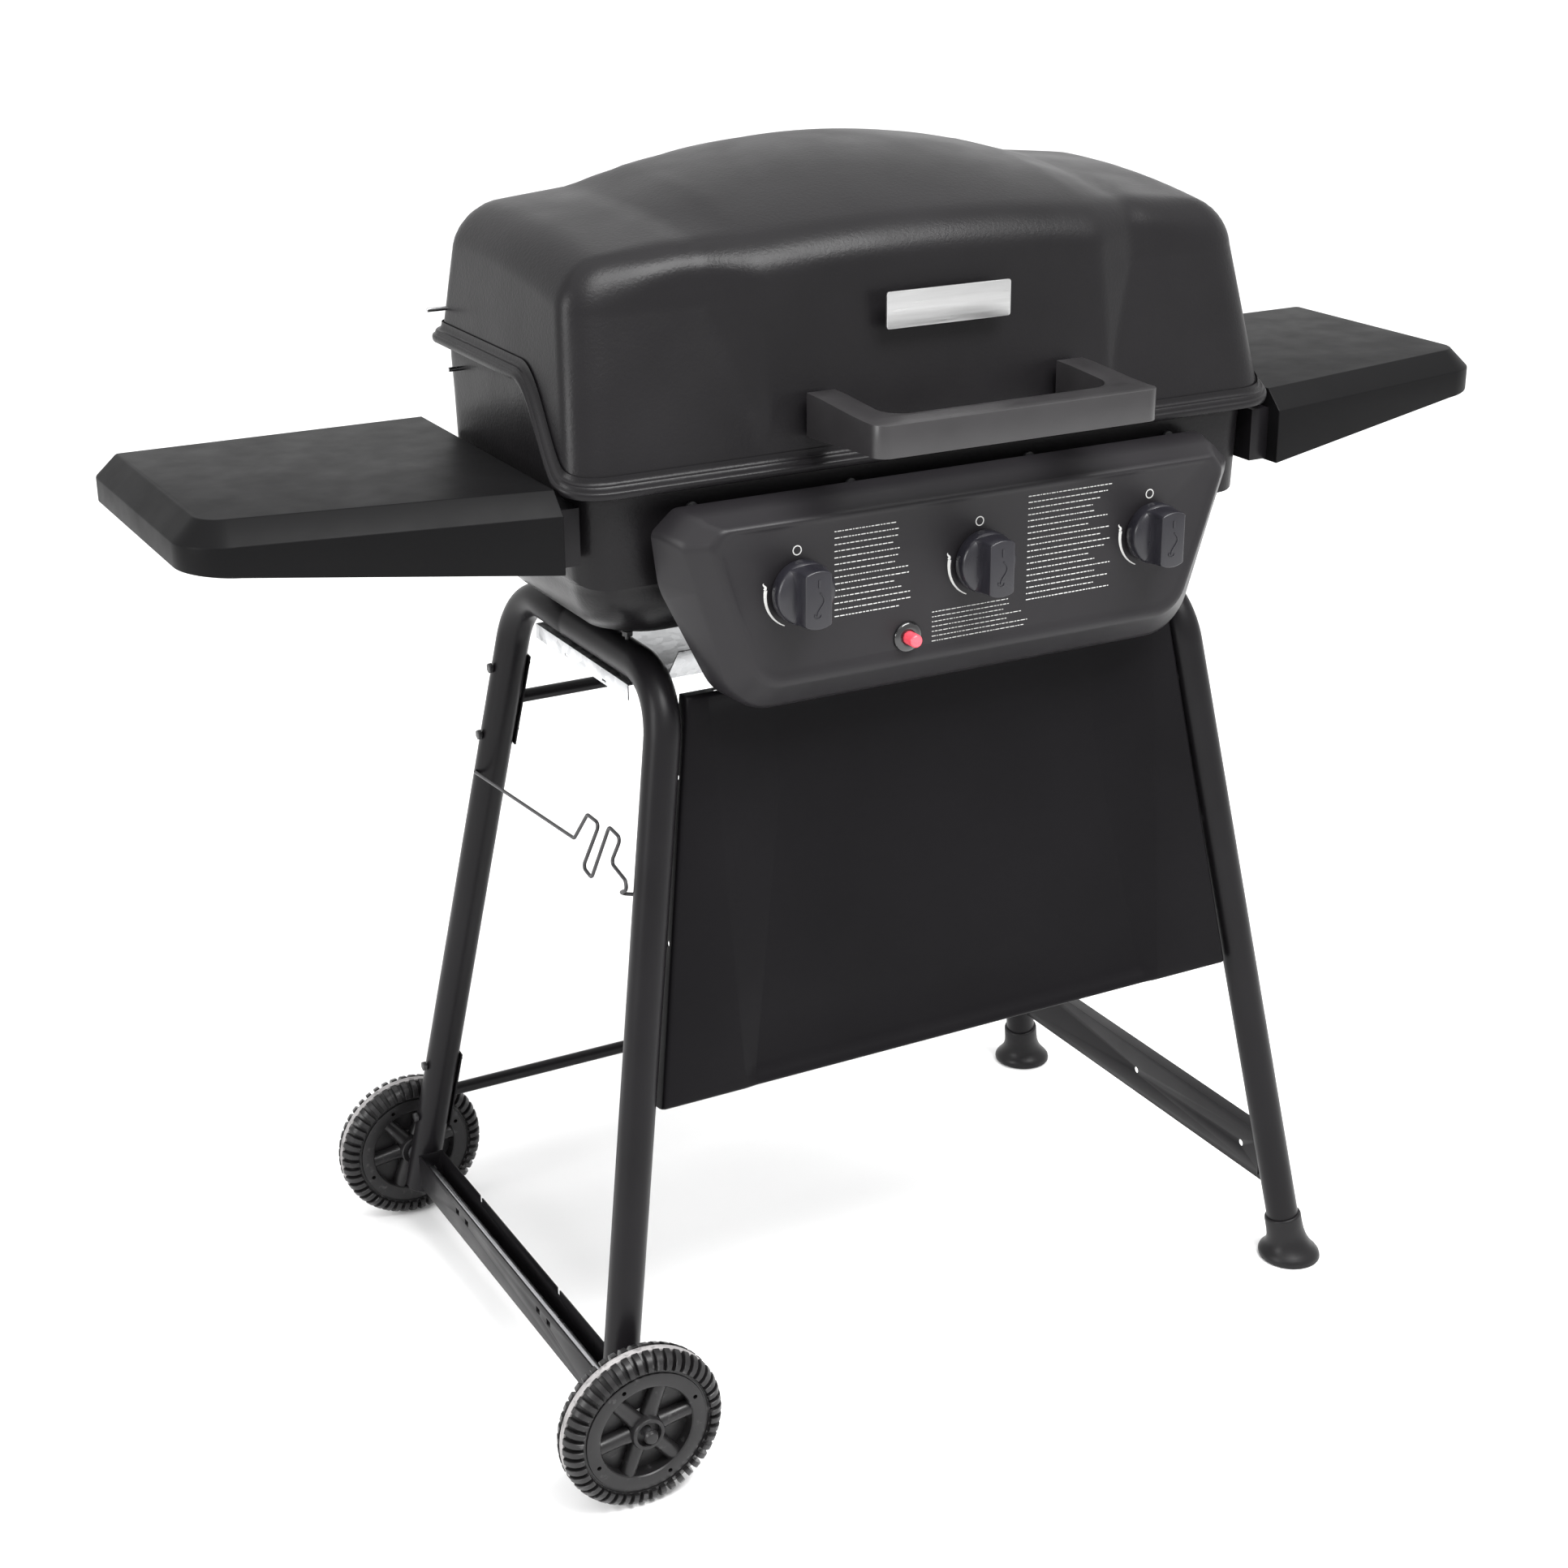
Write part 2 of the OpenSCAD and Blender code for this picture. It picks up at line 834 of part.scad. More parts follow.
// Chamfered bar across the handle and one arm at each end
module lid_handle() {
    bar_d = 28;
    z0 = 905;
    h = 26;
    end_z = 899;
    end_h = 37;
    color("#18181a")
        difference() {
            union() {
                hull() {
                    translate([-handle_half_x + 9, handle_y, z0])
                        cube([2 * handle_half_x - 18, bar_d, h - 6]);
                    translate([-handle_half_x, handle_y + 9, z0])
                        cube([2 * handle_half_x, bar_d - 9, h - 6]);
                    translate([-handle_half_x + 14, handle_y + 6, z0])
                        cube([2 * handle_half_x - 28, bar_d - 10, h]);
                }
                for (s = sides)
                    hull() {
                        translate([s * (handle_half_x - 13.5) - 13.5, handle_y + 12, z0])
                            cube([27, 14, h - 5]);
                        translate([s * (handle_half_x - 13.5) - 9, handle_y + 12, z0])
                            cube([18, 14, h]);
                        translate([s * (handle_half_x - 13.5) - 13.5, -171, end_z])
                            cube([27, 3, end_h - 5]);
                        translate([s * (handle_half_x - 13.5) - 9, -171, end_z])
                            cube([18, 3, end_h]);
                    }
            }
            for (s = sides)
                for (dz = [-6, 6])
                    y_pin(s * 123.5, -177, -160, 917 + dz, 4.6);
        }
}

// Plain badge plate with two studs
module lid_plate() {
    color("#c8c8c8") {
        translate([-63, -169.8, 980])
            cube([126, 2, 31]);
        for (s = sides)
            y_pin(s * 48, -168, -163, 995, 3);
    }
}

// ---------- side shelves ----------

// Plan outline of a right-hand shelf, pulled in by g
module shelf_plan(g, g_in) {
    ox = overall_w / 2;
    hull() {
        translate([ox - 42, -84])
            circle(r = 42 - g, $fn = 48);
        translate([ox - 22, 137])
            circle(r = 22 - g, $fn = 32);
        translate([shelf_in_x + g_in, -171 + g])
            square([2, 2]);
        translate([shelf_in_x + g_in, 154 - g])
            square([2, 2]);
    }
}

module shelf(side) {
    z1 = shelf_top_z - shelf_bevel;
    zin = shelf_top_z - skirt_in;
    zout = shelf_top_z - skirt_out;
    t = 2.5;
    color("#1c1c1e")
        mirror([side > 0 ? 0 : 1, 0, 0])
            difference() {
                union() {
                    hull() {
                        translate([0, 0, shelf_top_z - 1])
                            linear_extrude(height = 1)
                                shelf_plan(shelf_bevel, 0);
                        translate([0, 0, z1 - 1])
                            linear_extrude(height = 1)
                                shelf_plan(0, 0);
                    }
                    translate([0, 0, zin])
                        linear_extrude(height = z1 - 1 - zin)
                            shelf_plan(0, 0);
                }
                hull() {
                    translate([0, 0, shelf_top_z - t - 1])
                        linear_extrude(height = 1)
                            shelf_plan(shelf_bevel + 1, t);
                    translate([0, 0, z1 - t])
                        linear_extrude(height = 1)
                            shelf_plan(t, t);
                }
                translate([0, 0, zin - 1])
                    linear_extrude(height = z1 - zin)
                        shelf_plan(t, t);
                for (y = [-100, 90])
                    x_pin(shelf_in_x - 2, shelf_in_x + 5, y, zin + 26, 5.2);
                // the skirt gets shallower towards the outer end
                translate([0, 300, 0])
                    rotate([90, 0, 0])
                        linear_extrude(height = 600)
                            polygon([
                                [shelf_in_x - 1, zin - 5], [shelf_in_x - 1, zin],
                                [overall_w / 2 + 1, zout], [overall_w / 2 + 1, zin - 5]
                            ]);
            }
    // stiffening ribs
    color("#1c1c1e")
        mirror([side > 0 ? 0 : 1, 0, 0])
            for (x = [440, 530])
                translate([x, -118, shelf_top_z - t - 8])
                    cube([2, 236, 8.2]);
}

module left_shelf() {
    shelf(-1);
}

module right_shelf() {
    shelf(1);
}

// Folded spacers between firebox and shelves
module shelf_brackets() {
    x0 = box_half_x + 0.3;
    w = shelf_in_x - x0 - 0.2;
    z0 = shelf_top_z - skirt_in + 2;
    color("#18181a")
        for (s = sides)
            mirror([s > 0 ? 0 : 1, 0, 0])
                difference() {
                    translate([x0, -156, z0])
                        cube([w, 292, 48]);
                    translate([x0 + 1.6, -154.4, z0 - 1])
                        cube([w - 3.2, 288.8, 47.4]);
                    // screw holes through both walls
                    for (y = [-100, 90])
                        x_pin(x0 - 1, x0 + w + 1, y, z0 + 24, 5);
                }
}

module shelf_screws() {
    x0 = box_half_x - 6;
    z = shelf_top_z - skirt_in + 26;
    color("#77777b")
        for (s = sides)
            for (y = [-100, 90])
                mirror([s > 0 ? 0 : 1, 0, 0]) {
                    x_pin(x0, shelf_in_x + 6, y, z, 4.8);
                    x_pin(shelf_in_x + 2.6, shelf_in_x + 5.6, y, z, 10);
                }
}

// ---------- control panel and gas train ----------

// Outline of the panel face pulled in by g
module panel_outline(wide, g) {
    hull()
        for (s = sides) {
            translate([s * (wide ? 272 : 262), wide ? 844 : panel_top_z - 10])
                circle(r = 10 - g, $fn = 24);
            translate([s * (wide ? 206 : 203), panel_bottom_z + 55])
                circle(r = (wide ? 58 : 55) - g, $fn = 48);
        }
}

module panel_slice(wide, g, y, t) {
    translate([0, y + t, 0])
        rotate([90, 0, 0])
            linear_extrude(height = t)
                panel_outline(wide, g);
}

module control_panel() {
    t = 1.6;
    color("#232326")
        difference() {
            hull() {
                panel_slice(false, 3, panel_y, 1);
                panel_slice(false, 0, panel_y + 4, 1);
                panel_slice(true, 0, -171, 1);
            }
            hull() {
                panel_slice(false, 3 + t, panel_y + t, 1);
                panel_slice(true, t, -170.5, 2);
            }
            // stems, ignitor, then the screws in the back edge
            for (x = knob_x)
                y_pin(x, panel_y - 5, panel_y + 6, knob_z, 13);
            for (x = [-240, -90, 90, 240])
                y_pin(x, -180, -165, 851, 5.2);
            y_pin(-knob_pitch * 0.4, panel_y - 5, panel_y + 6, 730, 20);
        }
}

// Tabs and screws between panel and firebox front
module panel_screws() {
    color("#77777b")
        for (s = sides)
            for (x = [s * 90, s * 240]) {
                y_pin(x, -176, -153.6, 851, 4.8);
                y_pin(x, -162, -159, 851, 10);
            }
}

manifold_y = -190;
manifold_z = 745;
manifold_d = 19;

// Gas rail with an inlet fitting at its left end
module manifold() {
    color("#b9b6ad")
        difference() {
            union() {
                x_pin(-214, 205, manifold_y, manifold_z, manifold_d);
                x_pin(-226, -214, manifold_y, manifold_z, 16);
                translate([-220, manifold_y, manifold_z])
                    rotate([52 - 180, 0, 0]) {
                        translate([0, 0, -10])
                            cylinder(d = 17, h = 22);
                        cylinder(d = 14, h = 40);
                        translate([0, 0, 30])
                            cylinder(d = 17, h = 5);
                        translate([0, 0, 12])
                            cylinder(d = 21, h = 9, $fn = 6);
                    }
            }
            x_pin(-210, 203, manifold_y, manifold_z, manifold_d - 4);
            translate([-220, manifold_y, manifold_z])
                rotate([52 - 180, 0, 0])
                    cylinder(d = 9, h = 41);
            x_pin(-220, -205, manifold_y, manifold_z, 9);
        }
}

plug_d = 12;

// Valve bodies: block with a bore for the plug and a nozzle towards the burner
module valve_bodies() {
    color("#b08d4c")
        for (x = knob_x)
            translate([x, 0, 0])
                difference() {
                    union() {
                        translate([-11, -206, knob_z - 11])
                            cube([22, 24, 22]);
                        y_pin(0, -182, -170, burner_z, 9);
                        z_pin(0, manifold_y, manifold_z + manifold_d / 2, knob_z - 10.9, 12);
                    }
                    y_pin(0, -207, -188, knob_z, plug_d + 2 * pin_play);
                    y_pin(0, -189, -169, burner_z, 3);
                    z_pin(0, manifold_y - 6, manifold_z + 5, knob_z, 4);
                }
}

// Turning plug with a slot that drives the stem
module valve_plug(x) {
    color("#b08d4c")
        difference() {
            y_pin(x, -205.5, -190, knob_z, plug_d);
            y_pin(x, -206, -196, knob_z, 8.6);
            translate([x - 1.5, -196.2, knob_z - 4.3])
                cube([3, 4, 8.6]);
        }
}

module left_valve_plug() {
    valve_plug(-knob_pitch);
}

module centre_valve_plug() {
    valve_plug(0);
}

module right_valve_plug() {
    valve_plug(knob_pitch);
}

// Stem: slides in the plug, turns it with its flat tongue
module valve_stem(x) {
    color("#c7c3b5")
        difference() {
            union() {
                y_pin(x, -246, -200, knob_z, 8);
                translate([x - 1.1, -200.1, knob_z - 3.8])
                    cube([2.2, 3.5, 7.6]);
            }
            // flat for the knob
            translate([x - 5, -247, knob_z + 2.4])
                cube([10, 20, 4]);
        }
}

module left_valve_stem() {
    valve_stem(-knob_pitch);
}

module centre_valve_stem() {
    valve_stem(0);
}

module right_valve_stem() {
    valve_stem(knob_pitch);
}

// Knob: round dial with a raised grip bar
module knob(x) {
    y0 = panel_y - 4.2;
    color("#161618")
        translate([x, y0, knob_z])
            rotate([90, 0, 0])
                difference() {
                    union() {
                        cylinder(d = knob_d, h = 14);
                        translate([0, 0, 14])
                            cylinder(d1 = knob_d, d2 = knob_d - 7, h = 5);
                        intersection() {
                            translate([-12.5, -knob_d / 2 + 1, 10])
                                cube([25, knob_d - 2, 24]);
                            cylinder(d1 = knob_d + 2, d2 = knob_d - 8, h = 34);
                        }
                    }
                    // stem socket with its flat, open towards the panel
                    translate([0, 0, -1])
                        difference() {
                            cylinder(d = 8, h = 20);
                            translate([-5, 2.4, -1])
                                cube([10, 4, 22]);
                        }
                    // hollow around the socket
                    translate([0, 0, -1])
                        difference() {
                            cylinder(d = knob_d - 6, h = 12);
                            translate([0, 0, -1])
                                cylinder(d = 14, h = 14);
                        }
                }
}

module left_knob() {
    knob(-knob_pitch);
}

module centre_knob() {
    knob(0);
}

module right_knob() {
    knob(knob_pitch);
}

// Tube burner with a flared air inlet at the front
module burner(x) {
    color("#9c9a94")
        difference() {
            union() {
                y_pin(x, -160, 104, burner_z, 25.4);
                y_pin(x, -176, -160, burner_z, 21);
                y_pin(x, 104, 112, burner_z, 12);
                translate([x - 10, 110, burner_z - 12])
                    cube([20, 8, 2]);
                translate([x - 10, 110, burner_z - 12])
                    cube([20, 2, 16]);
            }
            y_pin(x, -177, 102, burner_z, 19);
            // flame ports along both sides
            for (i = [0 : 9])
                for (s = sides)
                    translate([x, -110 + i * 22, burner_z])
                        rotate([0, s * 60, 0])
                            cylinder(d = 2.6, h = 16, $fn = 13);
        }
}

module left_burner() {
    burner(-knob_pitch);
}

module centre_burner() {
    burner(0);
}

module right_burner() {
    burner(knob_pitch);
}

// Channels that carry the flame between burners
module crossover_tube() {
    color("#9c9a94")
        for (s = sides)
            difference() {
                x_pin(s * knob_pitch / 2 - 74, s * knob_pitch / 2 + 74, -118, burner_z + 5, 10);
                x_pin(s * knob_pitch / 2 - 75, s * knob_pitch / 2 + 75, -118, burner_z + 5, 8);
            }
}

// Folded heat tents over the burners
module heat_tents() {
    color("#7d7b76")
        for (x = knob_x)
            translate([x, 129, 0])
                rotate([90, 0, 0])
                    linear_extrude(height = 279)
                        polygon([
                            [-62, 821.5], [-60, 821.5], [0, 839], [60, 821.5], [62, 821.5],
                            [62, 823], [0, 841], [-62, 823]
                        ]);
}

// Rod grate: frame and bars
module cooking_grate(x0, x1) {
    y0 = -149;
    y1 = 127;
    z = grate_z - 7;
    n = 17;
    color("#2b2b2d") {
        for (y = [y0, y1])
            x_pin(x0, x1, y, z, 6);
        for (y = [-55, 35])
            x_pin(x0, x1, y, z - 0.5, 5);
        for (i = [0 : n])
            y_pin(x0 + 3 + (x1 - x0 - 6) * i / n, y0 - 1, y1 + 1, z + 4, i % n == 0 ? 6 : 5);
    }
}

module left_cooking_grate() {
    cooking_grate(-306, -3);
}

module right_cooking_grate() {
    cooking_grate(3, 306);
}

// Wire shelf that hangs in the lid
module warming_rack() {
    zr = 967;
    x_arm = 326;
    x_frame = 300;
    color("#5c5c60") {
        // front rod, end rods and the long rear rod that carries the lid pivots
        x_pin(-x_frame - 2.6, x_frame + 2.6, -78, zr, rack_d);
        for (s = sides)
            y_pin(s * x_frame, -78, 62, zr, rack_d - 0.4);
        bent_rod([
            [-x_arm - 28, rack_lid_y, rack_lid_z], [-x_arm, rack_lid_y, rack_lid_z],
            [-x_arm, 62, zr], [x_arm, 62, zr],
            [x_arm, rack_lid_y, rack_lid_z], [x_arm + 28, rack_lid_y, rack_lid_z]
        ], rack_d);
        for (i = [1 : 24])
            y_pin(-x_frame + i * 24, -79, 63, zr + 2, 2.4);
        // eyes around the swing leg
        for (s = sides)
            difference() {
                x_pin(s * 276 - 2.5, s * 276 + 2.5, rack_front_y, rack_front_z, 10);
                x_pin(s * 276 - 4, s * 276 + 4, rack_front_y, rack_front_z, rack_d + 0.9);
            }
        for (s = sides)
            z_pin(s * 276, rack_front_y, rack_front_z + 4, zr + 2, 4);
    }
}

// Wire leg that swings on the firebox and carries the front of the rack
module rack_swing_leg() {
    x_leg = 317;
    color("#5c5c60")
        bent_rod(concat(
            [[-(box_half_x + 13), rack_box_y, rack_box_z]],
            [for (s = sides)
                for (k = s < 0 ? [0, 1] : [1, 0])
                    k == 0 ? [s * x_leg, rack_box_y, rack_box_z] : [s * x_leg, rack_front_y, rack_front_z]],
            [[box_half_x + 13, rack_box_y, rack_box_z]]
        ), rack_d);
}

// ---------- ignitor ----------

ign_x = -knob_pitch * 0.4;
ign_z = 730;

module ignitor_body() {
    color("#151517")
        difference() {
            union() {
                y_pin(ign_x, panel_y - 4, panel_y - 0.1, ign_z, 27);
                y_pin(ign_x, panel_y - 0.2, panel_y + 21, ign_z, 19.6);
                y_pin(ign_x, panel_y + 2, panel_y + 6, ign_z, 27);
            }
            y_pin(ign_x, panel_y - 5, panel_y + 19, ign_z, 12.4);
        }
}

module ignitor_button() {
    color("#c8303a") {
        y_pin(ign_x, panel_y - 16, panel_y + 13, ign_z, 11.6);
    }
}

// Spark electrode beside the left burner
module ignitor_electrode() {
    x = -knob_pitch + 22;
    color("#d8d4c8") {
        y_pin(x, -146, -96, burner_z + 14, 7);
        y_pin(x, -97, -84, burner_z + 14, 2);
        x_pin(x - 6, x + 0.8, -85, burner_z + 14, 1.9);
        translate([x - 5, -146.5, burner_z + 8])
            cube([10, 1.6, 14]);
    }
}

// ---------- heat shield and grease ----------

// Galvanised pan under the firebox
module heat_shield() {
    z1 = frame_top_z - tube_r - 0.4;
    hx = 277;
    color("#c2c4c4")
        difference() {
            union() {
                translate([-hx, -105, z1 - 1])
                    cube([2 * hx, 243, 1]);
                for (s = sides)
                    translate([s * (hx - 0.5) - 0.5, -105, z1 - 14])
                        cube([1, 243, 14]);
                translate([-240, -105.5, z1 - 1])
                    rotate([38, 0, 0])
                        cube([480, 1, 40]);
            }
            // clearance for the grease drain
            z_pin(0, -10, z1 - 5, z1 + 5, 60);
            for (s = sides) {
                // corner cut away for the bend of the rear leg
                translate([s * 270 - 28, 92, z1 - 20])
                    cube([56, 60, 30]);
                // slits in the side folds
                for (y = [-60, 20, 100])
                    translate([s * hx - 3, y, z1 - 12])
                        cube([6, 8, 2]);
                for (y = [-80, 70])
                    z_pin(s * frame_half_x, y, z1 - 5, z1 + 5, 5);
            }
        }
}

cup_z = 622;
cup_y = -10;

// Wire hanger for the cup, hooked over the edge of the pan's hole
module grease_cup_clip() {
    z1 = frame_top_z - tube_r + 1;
    color("#8c8c90")
        for (s = sides)
            bent_rod([
                [s * 40, cup_y, z1], [s * 26.5, cup_y, z1], [s * 26.5, cup_y, z1 - 7],
                [s * 38.5, cup_y, z1 - 10], [s * 38.5, cup_y, cup_z + 18],
                [s * 34, cup_y, cup_z - 1.4], [s * 18, cup_y, cup_z - 1.4]
            ], 2.4);
}

module grease_cup() {
    color("#b5b5b5")
        translate([0, cup_y, cup_z])
            difference() {
                union() {
                    cylinder(r1 = 30, r2 = 34, h = 51);
                    translate([0, 0, 50])
                        cylinder(r = 34.8, h = 2);
                }
                translate([0, 0, 1.2])
                    cylinder(r1 = 29, r2 = 33, h = 52);
            }
}

// ---------- draw ----------

left_front_leg();
left_rear_leg();
right_front_leg();
right_rear_leg();
left_lower_brace();
right_lower_brace();
upper_rear_rail();
lower_rear_rail();
front_panel();
right_front_foot();
right_rear_foot();
axle();
front_wheel();
rear_wheel();
axle_caps();
axle_washers();
frame_bolts();
tank_retainer_wire();
heat_shield();
firebox();
firebox_bolts();
firebox_hinge_brackets();
hinge_pins();
hinge_pin_clips();
lid();
lid_hinge_brackets();
lid_screws();
lid_handle();
lid_plate();
left_shelf();
right_shelf();
shelf_brackets();
shelf_screws();
control_panel();
panel_screws();
manifold();
valve_bodies();
left_valve_plug();
centre_valve_plug();
right_valve_plug();
left_valve_stem();
centre_valve_stem();
right_valve_stem();
left_knob();
centre_knob();
right_knob();
left_burner();
centre_burner();
right_burner();
crossover_tube();
heat_tents();
left_cooking_grate();
right_cooking_grate();
warming_rack();
rack_swing_leg();
ignitor_body();
ignitor_button();
ignitor_electrode();
grease_cup();
grease_cup_clip();
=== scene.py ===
import json
import math
import random

import bmesh
import bpy
from mathutils import Matrix, Vector

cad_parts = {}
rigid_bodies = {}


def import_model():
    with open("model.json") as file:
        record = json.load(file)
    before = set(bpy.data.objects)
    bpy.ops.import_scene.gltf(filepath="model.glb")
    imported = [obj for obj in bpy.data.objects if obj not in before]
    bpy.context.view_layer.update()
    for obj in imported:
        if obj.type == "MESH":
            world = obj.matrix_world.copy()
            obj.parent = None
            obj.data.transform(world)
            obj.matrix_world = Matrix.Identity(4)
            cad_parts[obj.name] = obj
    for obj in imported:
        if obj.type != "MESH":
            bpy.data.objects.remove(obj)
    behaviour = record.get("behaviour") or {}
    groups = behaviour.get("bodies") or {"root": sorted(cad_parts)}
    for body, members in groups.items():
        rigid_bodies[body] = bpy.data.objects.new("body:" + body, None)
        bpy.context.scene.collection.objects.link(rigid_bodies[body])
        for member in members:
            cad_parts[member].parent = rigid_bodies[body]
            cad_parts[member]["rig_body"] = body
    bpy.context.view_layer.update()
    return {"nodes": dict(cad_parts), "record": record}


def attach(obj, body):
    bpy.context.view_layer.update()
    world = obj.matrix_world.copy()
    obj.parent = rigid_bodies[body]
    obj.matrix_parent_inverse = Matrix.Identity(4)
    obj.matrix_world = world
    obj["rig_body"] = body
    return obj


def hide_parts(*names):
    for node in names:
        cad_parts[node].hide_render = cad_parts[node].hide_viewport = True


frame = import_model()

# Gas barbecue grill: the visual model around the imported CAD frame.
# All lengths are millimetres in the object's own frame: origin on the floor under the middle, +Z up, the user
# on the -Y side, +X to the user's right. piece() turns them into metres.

MM = 0.001
rng = random.Random(7)


# ---------- small helpers ----------

def smoothstep(t):
    t = min(1.0, max(0.0, t))
    return t * t * (3 - 2 * t)


def lerp(a, b, t):
    return a + (b - a) * t


def rounded(points, radii, steps=6):
    """Closed 2-D outline with filleted corners; every corner gives the same number of points."""
    out = []
    n = len(points)
    for i in range(n):
        p, a, b = Vector(points[i]), Vector(points[i - 1]), Vector(points[(i + 1) % n])
        r = radii[i] if isinstance(radii, (list, tuple)) else radii
        da, db = (a - p), (b - p)
        half = math.acos(max(-1, min(1, da.normalized().dot(db.normalized())))) / 2
        reach = min(r / math.tan(half), 0.49 * da.length, 0.49 * db.length)
        r = reach * math.tan(half)
        mid = (da.normalized() + db.normalized()).normalized()
        centre = p + mid * (r / math.sin(half))
        start, end = p + da.normalized() * reach - centre, p + db.normalized() * reach - centre
        turn = start.angle_signed(end)
        for k in range(steps + 1):
            c, s = math.cos(-turn * k / steps), math.sin(-turn * k / steps)
            out.append((centre.x + start.x * c - start.y * s, centre.y + start.x * s + start.y * c))
    return out


def bend_path(points, radius, steps=8):
    """Open 3-D polyline with its inner corners turned into arcs."""
    pts = [Vector(p) for p in points]
    out = [pts[0]]
    for a, p, b in zip(pts, pts[1:], pts[2:]):
        da, db = (a - p), (b - p)
        half = math.acos(max(-1, min(1, da.normalized().dot(db.normalized())))) / 2
        if half > math.radians(89):
            out.append(p)
            continue
        reach = min(radius / math.tan(half), 0.48 * da.length, 0.48 * db.length)
        r = reach * math.tan(half)
        centre = p + (da.normalized() + db.normalized()).normalized() * (r / math.sin(half))
        start, end = p + da.normalized() * reach - centre, p + db.normalized() * reach - centre
        turn = start.angle(end)
        for k in range(steps + 1):
            t = k / steps
            out.append(centre + (start * math.sin((1 - t) * turn) + end * math.sin(t * turn)) / math.sin(turn))
    out.append(pts[-1])
    return out


def piece(name, verts, faces, body, slot, look, stands_for=(), sharp=35):
    """Makes a mesh from millimetre vertices and hangs it on a CAD body."""
    mesh = bpy.data.meshes.new(name)
    mesh.from_pydata([Vector(v) * MM for v in verts], [], faces)
    bm = bmesh.new()
    bm.from_mesh(mesh)
    bmesh.ops.remove_doubles(bm, verts=bm.verts, dist=1e-6)
    bmesh.ops.recalc_face_normals(bm, faces=bm.faces)
    bm.to_mesh(mesh)
    bm.free()
    for poly in mesh.polygons:
        poly.use_smooth = True
    mesh.materials.append(look)
    obj = bpy.data.objects.new(name, mesh)
    bpy.context.scene.collection.objects.link(obj)
    obj["sharp"] = sharp
    mesh.set_sharp_from_angle(angle=math.radians(sharp))
    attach(obj, body)
    if stands_for:
        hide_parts(*stands_for)
    return obj


def settle(obj):
    """Turns an object's modifiers into real mesh."""
    bpy.context.view_layer.update()
    graph = bpy.context.evaluated_depsgraph_get()
    done = bpy.data.meshes.new_from_object(obj.evaluated_get(graph))
    obj.modifiers.clear()
    old = obj.data
    obj.data = done
    bpy.data.meshes.remove(old)
    for poly in done.polygons:
        poly.use_smooth = True
    done.set_sharp_from_angle(angle=math.radians(obj["sharp"]))
    return obj


def soften(obj, width, segments=3, angle=30):
    """Rounds the edges that turn by more than angle."""
    mod = obj.modifiers.new("soft edges", "BEVEL")
    mod.width = width * MM
    mod.segments = segments
    mod.limit_method = "ANGLE"
    mod.angle_limit = math.radians(angle)
    mod.harden_normals = False
    return settle(obj)


def shell(obj, thickness):
    """Gives a sheet its thickness, inwards."""
    mod = obj.modifiers.new("sheet", "SOLIDIFY")
    mod.thickness = thickness * MM
    mod.offset = -1
    return settle(obj)


def rings(stack, closed=True, start_cap=False, end_cap=False):
    """Vertices and quads of a stack of rings with equal numbers of points."""
    n = len(stack[0])
    verts = [p for ring in stack for p in ring]
    last = n if closed else n - 1
    faces = [(r * n + i, r * n + (i + 1) % n, (r + 1) * n + (i + 1) % n, (r + 1) * n + i)
             for r in range(len(stack) - 1) for i in range(last)]
    if start_cap:
        faces.append(tuple(range(n)))
    if end_cap:
        faces.append(tuple(range((len(stack) - 1) * n, len(stack) * n)))
    return verts, faces


def tube_mesh(path, radius, sides=20):
    """Rings along a 3-D path with closed ends; radius is a number or one per point."""
    pts = [Vector(p) for p in path]
    radii = radius if isinstance(radius, list) else [radius] * len(pts)
    tangent = (pts[1] - pts[0]).normalized()
    side = tangent.orthogonal().normalized()
    stack = []
    for i, p in enumerate(pts):
        ahead = (pts[min(i + 1, len(pts) - 1)] - pts[max(i - 1, 0)]).normalized()
        side = (side - ahead * side.dot(ahead)).normalized()
        up = ahead.cross(side)
        stack.append([p + (side * math.cos(a) + up * math.sin(a)) * radii[i]
                      for a in (2 * math.pi * k / sides for k in range(sides))])
    return rings(stack, start_cap=True, end_cap=True)


def merged(parts):
    """Joins several (verts, faces) pairs."""
    verts, faces = [], []
    for v, f in parts:
        base = len(verts)
        verts += list(v)
        faces += [tuple(i + base for i in face) for face in f]
    return verts, faces


def lathe_mesh(profile, centre, axis, steps=64):
    """Turns (radius, height) points about an axis through centre; radius 0 at an end closes it."""
    axis = Vector(axis).normalized()
    u = axis.orthogonal().normalized()
    v = axis.cross(u)
    centre = Vector(centre)
    stack = []
    for r, h in profile:
        stack.append([centre + axis * h + (u * math.cos(a) + v * math.sin(a)) * max(r, 1e-4)
                      for a in (2 * math.pi * k / steps for k in range(steps))])
    return rings(stack, start_cap=True, end_cap=True)


def prism_mesh(outline, place, low, high):
    """Straight prism; place(a, b, h) gives the 3-D point of outline point (a, b) at height h."""
    return rings([[place(a, b, h) for a, b in outline] for h in (low, high)], start_cap=True, end_cap=True)


def block_mesh(lo, hi):
    (x0, y0, z0), (x1, y1, z1) = lo, hi
    return prism_mesh([(x0, y0), (x1, y0), (x1, y1), (x0, y1)], lambda a, b, h: Vector((a, b, h)), z0, z1)


